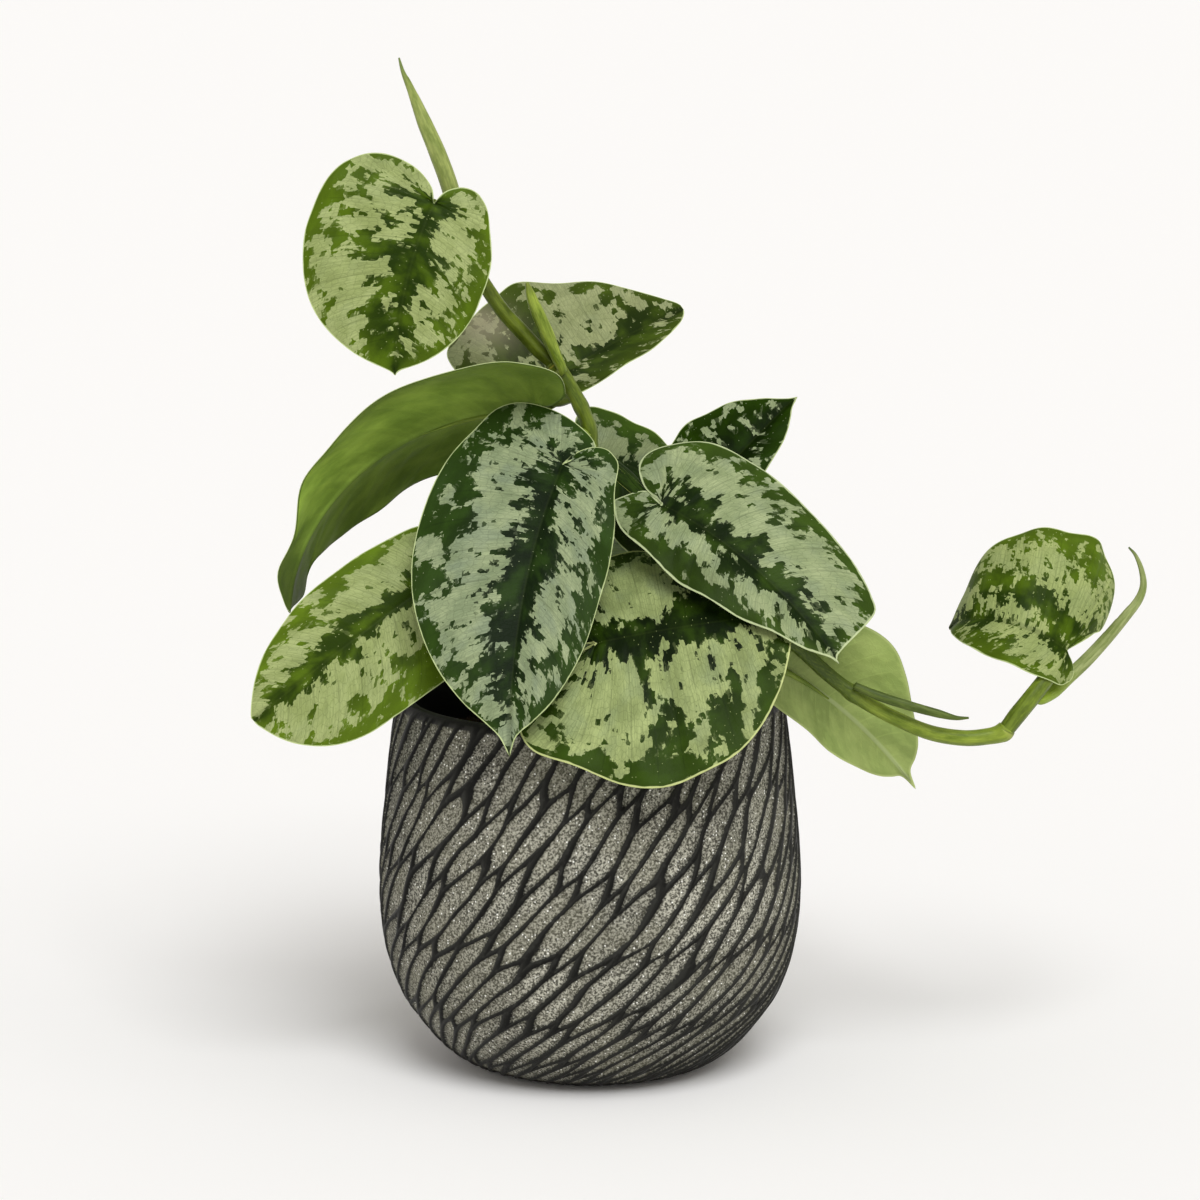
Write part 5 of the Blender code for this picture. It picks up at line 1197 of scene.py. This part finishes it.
top_turn = turn_rows[0]
inner_profile = [(RIM_OUTER_RADIUS - 0.9, 128.5), (RIM_OUTER_RADIUS - 2.0, POT_HEIGHT - 0.02), (RIM_OUTER_RADIUS - 3.2, POT_HEIGHT), (RIM_INNER_RADIUS + 1.5, POT_HEIGHT - 0.1),
                 (RIM_INNER_RADIUS + 0.5, 128.3), (RIM_INNER_RADIUS, 127.2), (RIM_INNER_RADIUS, 125.5), (61.1, 121), (62.2, 117), (63.4, 112.5), (64.0, 107), (64, 103)]
bottom_profile = [(36.3, 0.0), (34.0, 0.0), (32.5, 0.9), (12.0, 0.9)]


def lathe(profile, turn):
    return [np.stack([r * np.cos(column + turn), r * np.sin(column + turn), np.full(COLUMNS, z)], 1) for r, z in profile]


loops = lathe([(0.0001, 103)][:0] + inner_profile[::-1], top_turn) + list(outer) + lathe(bottom_profile, turn_rows[-1])
ground_value = [np.full(COLUMNS, 9.0)] * len(inner_profile) + list(distance - half_width + 1.0) + [np.full(COLUMNS, 9.0)] * len(bottom_profile)
zone = [np.full(COLUMNS, 2.0 if z < 126.5 else 1.0) for _, z in inner_profile[::-1]]
zone += [np.full(COLUMNS, 0.0) + (1 - b) for b in body[:, 0]]
zone += [np.full(COLUMNS, 3.0)] * len(bottom_profile)
# the inside goes down behind the soil's edge to the floor of the pot
points = np.concatenate(loops)
faces = []
for i in range(len(loops) - 1):
    for j in range(COLUMNS):
        k = (j + 1) % COLUMNS
        faces.append((i * COLUMNS + j, (i + 1) * COLUMNS + j, (i + 1) * COLUMNS + k, i * COLUMNS + k))
bottom_centre, inside_centre = len(points), len(points) + 1
points = np.vstack([points, [(0, 0, 0.9)], [(0, 0, 103)]])
last = (len(loops) - 1) * COLUMNS
for j in range(COLUMNS):
    k = (j + 1) % COLUMNS
    faces.append((last + j, bottom_centre, last + k))
    faces.append((k, inside_centre, j))
net = np.concatenate(ground_value + [[9.0, 9.0]])
# flank is +1 on a ridge's upper-left flank and -1 on its lower-right flank; it carries painted light and shade on the
# ridges.
flank = [np.zeros(COLUMNS)] * len(inner_profile) + list(np.where(left_flank, 1.0, -1.0) * (1 - np.exp(-distance / 0.35))) + [np.zeros(COLUMNS)] * len(bottom_profile)
flanks = np.concatenate(flank + [[0.0, 0.0]])
zones = np.concatenate(zone + [[3.0, 2.0]])
pot = make_mesh("pot_stoneware", points, faces, {"net": net, "zone": zones, "flank": flanks})

s = Shader("glazed_stoneware", Specular_IOR_Level=0.1)
net_at, zone_at = s.attr("net").outputs["Fac"], s.attr("zone").outputs["Fac"]
where = s.node("ShaderNodeTexCoord").outputs["Object"]
grain = s.noise(where, scale=1350, detail=2.0, rough=0.6)
coarse = s.noise(where, scale=900, detail=3.0, rough=0.6)
cloud = s.noise(where, scale=55, detail=3.0)
rag = s.mul(s.sub(coarse, 0.5), 1.2)
ragged_ridge_distance = s.add(net_at, s.add(rag, s.mul(s.sub(cloud, 0.5), 1.0)))
field = s.step(zone_at, 0.25, 0.75, 1.0, 0.0)
bare = s.mul(s.step(s.add(net_at, s.mul(s.sub(coarse, 0.5), 0.9)), 0.88, 1.12), field)
# Painted shade: the ground is darker close to the raised ridges and lighter in the middle of each cell.
open_ground = s.mul(s.step(ragged_ridge_distance, 0.9, 2.0), field)
low_ground = s.mix(s.step(grain, 0.38, 0.64), srgb(50, 50, 44), srgb(132, 131, 120))
high_ground = s.mix(s.step(grain, 0.38, 0.62), srgb(80, 79, 70), srgb(196, 194, 178))
ground = s.mix(open_ground, low_ground, high_ground)
wide = s.noise(where, scale=24, detail=2.0)
ground = s.mix(s.step(wide, 0.4, 0.66, 0.0, 0.55), ground, low_ground)
up = s.split(where)[2]
# Painted shade: the ground darkens towards the top of the pot, under the leaves, and towards the foot, under the belly.
ground = s.mix(s.step(up, 0.07, 0.125, 0.0, 0.5), ground, low_ground)
ground = s.mix(s.step(up, 0.0, 0.035, 0.4, 0.0), ground, low_ground)
# Painted shade: the ground darkens on the left side of the pot and, less, on the right side.
side_for_painted_shade = s.add(s.split(where)[0], s.mul(s.sub(wide, 0.5), 0.05))
ground = s.mix(s.step(side_for_painted_shade, -0.07, -0.012, 0.42, 0.0), ground, low_ground)
ground = s.mix(s.step(side_for_painted_shade, 0.035, 0.07, 0.0, 0.2), ground, low_ground)
ground = s.mix(s.step(cloud, 0.35, 0.65, 0.0, 0.3), ground, srgb(120, 118, 98))
specks = s.voronoi(where, scale=950, dims="3D")
fleck = s.mul(s.step(specks.outputs["Distance"], 0.22, 0.34, 1.0, 0.0), s.step(s.split(specks.outputs["Color"])[0], 0.82, 0.86))
ground = s.mix(s.mul(fleck, s.step(open_ground, 0.1, 0.7, 0.3, 0.95)), ground, srgb(250, 250, 242))
pits = s.step(coarse, 0.36, 0.45, 0.6, 0.0)
ground = s.mix(pits, ground, srgb(62, 58, 52))
glaze = s.mix(s.step(cloud, 0.3, 0.7), srgb(20, 20, 17), srgb(37, 37, 34))
worn = s.step(s.noise(where, scale=400, detail=2.0), 0.52, 0.72, 0.0, 0.3)
glaze = s.mix(worn, glaze, srgb(66, 66, 62))
# Painted light and shade on the ridges: a painted highlight on each upper-left flank, painted shade on each lower-right
# flank.
flank_light_and_shade = s.attr("flank").outputs["Fac"]
glaze = s.mix(s.step(flank_light_and_shade, 0.1, 0.85, 0.0, 0.6), glaze, srgb(50, 50, 46))
glaze = s.mix(s.step(flank_light_and_shade, -0.8, 0.0, 0.7, 0.0), glaze, srgb(14, 14, 12))
skin = s.mix(bare, glaze, ground)
skin = s.mix(s.step(zone_at, 1.5, 1.9), skin, srgb(30, 30, 31))
skin = s.mix(s.step(zone_at, 2.5, 2.9), skin, srgb(120, 112, 98))
s.put(s.bsdf.inputs["Base Color"], skin)
s.put(s.bsdf.inputs["Roughness"], s.add(s.mul(bare, 0.36), 0.5))
s.bump(s.add(s.mul(s.mul(grain, bare), 1.0), s.mul(coarse, 0.35)), 0.55, 0.0005)
pot.data.materials.append(s.mat)
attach(pot, BODY)
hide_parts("pot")

# ================================================================ soil: crumbly peat, a closed cap
rng = np.random.default_rng(21)
rings, spokes = 44, 150
points, faces = [(0, 0, SOIL_TOP + 0.5)], []
for i in range(1, rings + 1):
    r = 62.4 * i / rings
    a = np.arange(spokes) * 2 * math.pi / spokes
    x, y = r * np.cos(a), r * np.sin(a)
    lift = (1.5 * lattice_noise(x / 9 + 20, y / 9 + 20, 0 * x, 1) + 1.3 * lattice_noise(x / 3.1 + 40, y / 3.1 + 40, 0 * x, 2)
            + 0.7 * lattice_noise(x / 1.2 + 90, y / 1.2 + 90, 0 * x, 4))
    jitter = rng.uniform(-0.25, 0.25, spokes) * (i < rings)
    points += list(zip(x, y, SOIL_TOP - 0.6 + lift * (0.3 if i == rings else 1.0) + jitter))
for j in range(spokes):
    faces.append((0, 1 + j, 1 + (j + 1) % spokes))
for i in range(rings - 1):
    for j in range(spokes):
        k = (j + 1) % spokes
        faces.append((1 + i * spokes + j, 1 + (i + 1) * spokes + j, 1 + (i + 1) * spokes + k, 1 + i * spokes + k))
rim0 = 1 + (rings - 1) * spokes
low = len(points)
a = np.arange(spokes) * 2 * math.pi / spokes
points += list(zip(62.4 * np.cos(a), 62.4 * np.sin(a), np.full(spokes, SOIL_TOP - 8)))
points.append((0, 0, SOIL_TOP - 8))
for j in range(spokes):
    k = (j + 1) % spokes
    faces.append((rim0 + j, low + j, low + k, rim0 + k))
    faces.append((low + j, len(points) - 1, low + k))
ico = bpy.data.meshes.new("crumb")
import bmesh

bm = bmesh.new()
bmesh.ops.create_icosphere(bm, subdivisions=2, radius=1.0)
crumb_points = np.array([v.co for v in bm.verts])
crumb_faces = [[v.index for v in f.verts] for f in bm.faces]
bm.free()
bpy.data.meshes.remove(ico)
kind = np.zeros(len(points))
kinds = [kind]
for i in range(190):
    r, a = 60 * math.sqrt(rng.uniform(0.01, 1)), rng.uniform(0, 2 * math.pi)
    size = rng.uniform(0.7, 2.3)
    shape = crumb_points * rng.uniform(0.6, 1.1, 3) * size
    shape = shape * (1 + 0.22 * lattice_noise(crumb_points[:, 0] * 1.7 + i * 5, crumb_points[:, 1] * 1.7, crumb_points[:, 2] * 1.7, 9))[:, None]
    base = len(points)
    points += [tuple(p) for p in shape + (r * math.cos(a), r * math.sin(a), SOIL_TOP + rng.uniform(-0.6, 1.0))]
    faces += [[base + k for k in f] for f in crumb_faces]
    kinds.append(np.full(len(crumb_points), 0.2 + rng.uniform(0, 0.5) + (1.0 if i % 14 == 0 else 0)))
soil = make_mesh("soil_peat", points, faces, {"kind": np.concatenate(kinds)}, smooth=False)
s = Shader("peat", Roughness=0.95, Specular_IOR_Level=0.2)
where = s.node("ShaderNodeTexCoord").outputs["Object"]
kind_at = s.attr("kind").outputs["Fac"]
cloud = s.noise(where, scale=220, detail=4.0, rough=0.65)
fibre = s.noise(where, scale=1300, detail=3.0, rough=0.7)
skin = s.mix(s.step(cloud, 0.3, 0.7), srgb(34, 25, 18), srgb(66, 50, 36))
skin = s.mix(s.step(fibre, 0.55, 0.75, 0.0, 0.6), skin, srgb(104, 82, 58))
skin = s.mix(s.step(kind_at, 0.3, 0.8, 0.0, 0.3), skin, srgb(92, 70, 48))
skin = s.mix(s.step(kind_at, 1.0, 1.2), skin, srgb(206, 200, 186))
s.put(s.bsdf.inputs["Base Color"], skin)
s.bump(s.add(fibre, cloud), 0.9, 0.0012)
soil.data.materials.append(s.mat)
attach(soil, BODY)
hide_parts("soil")
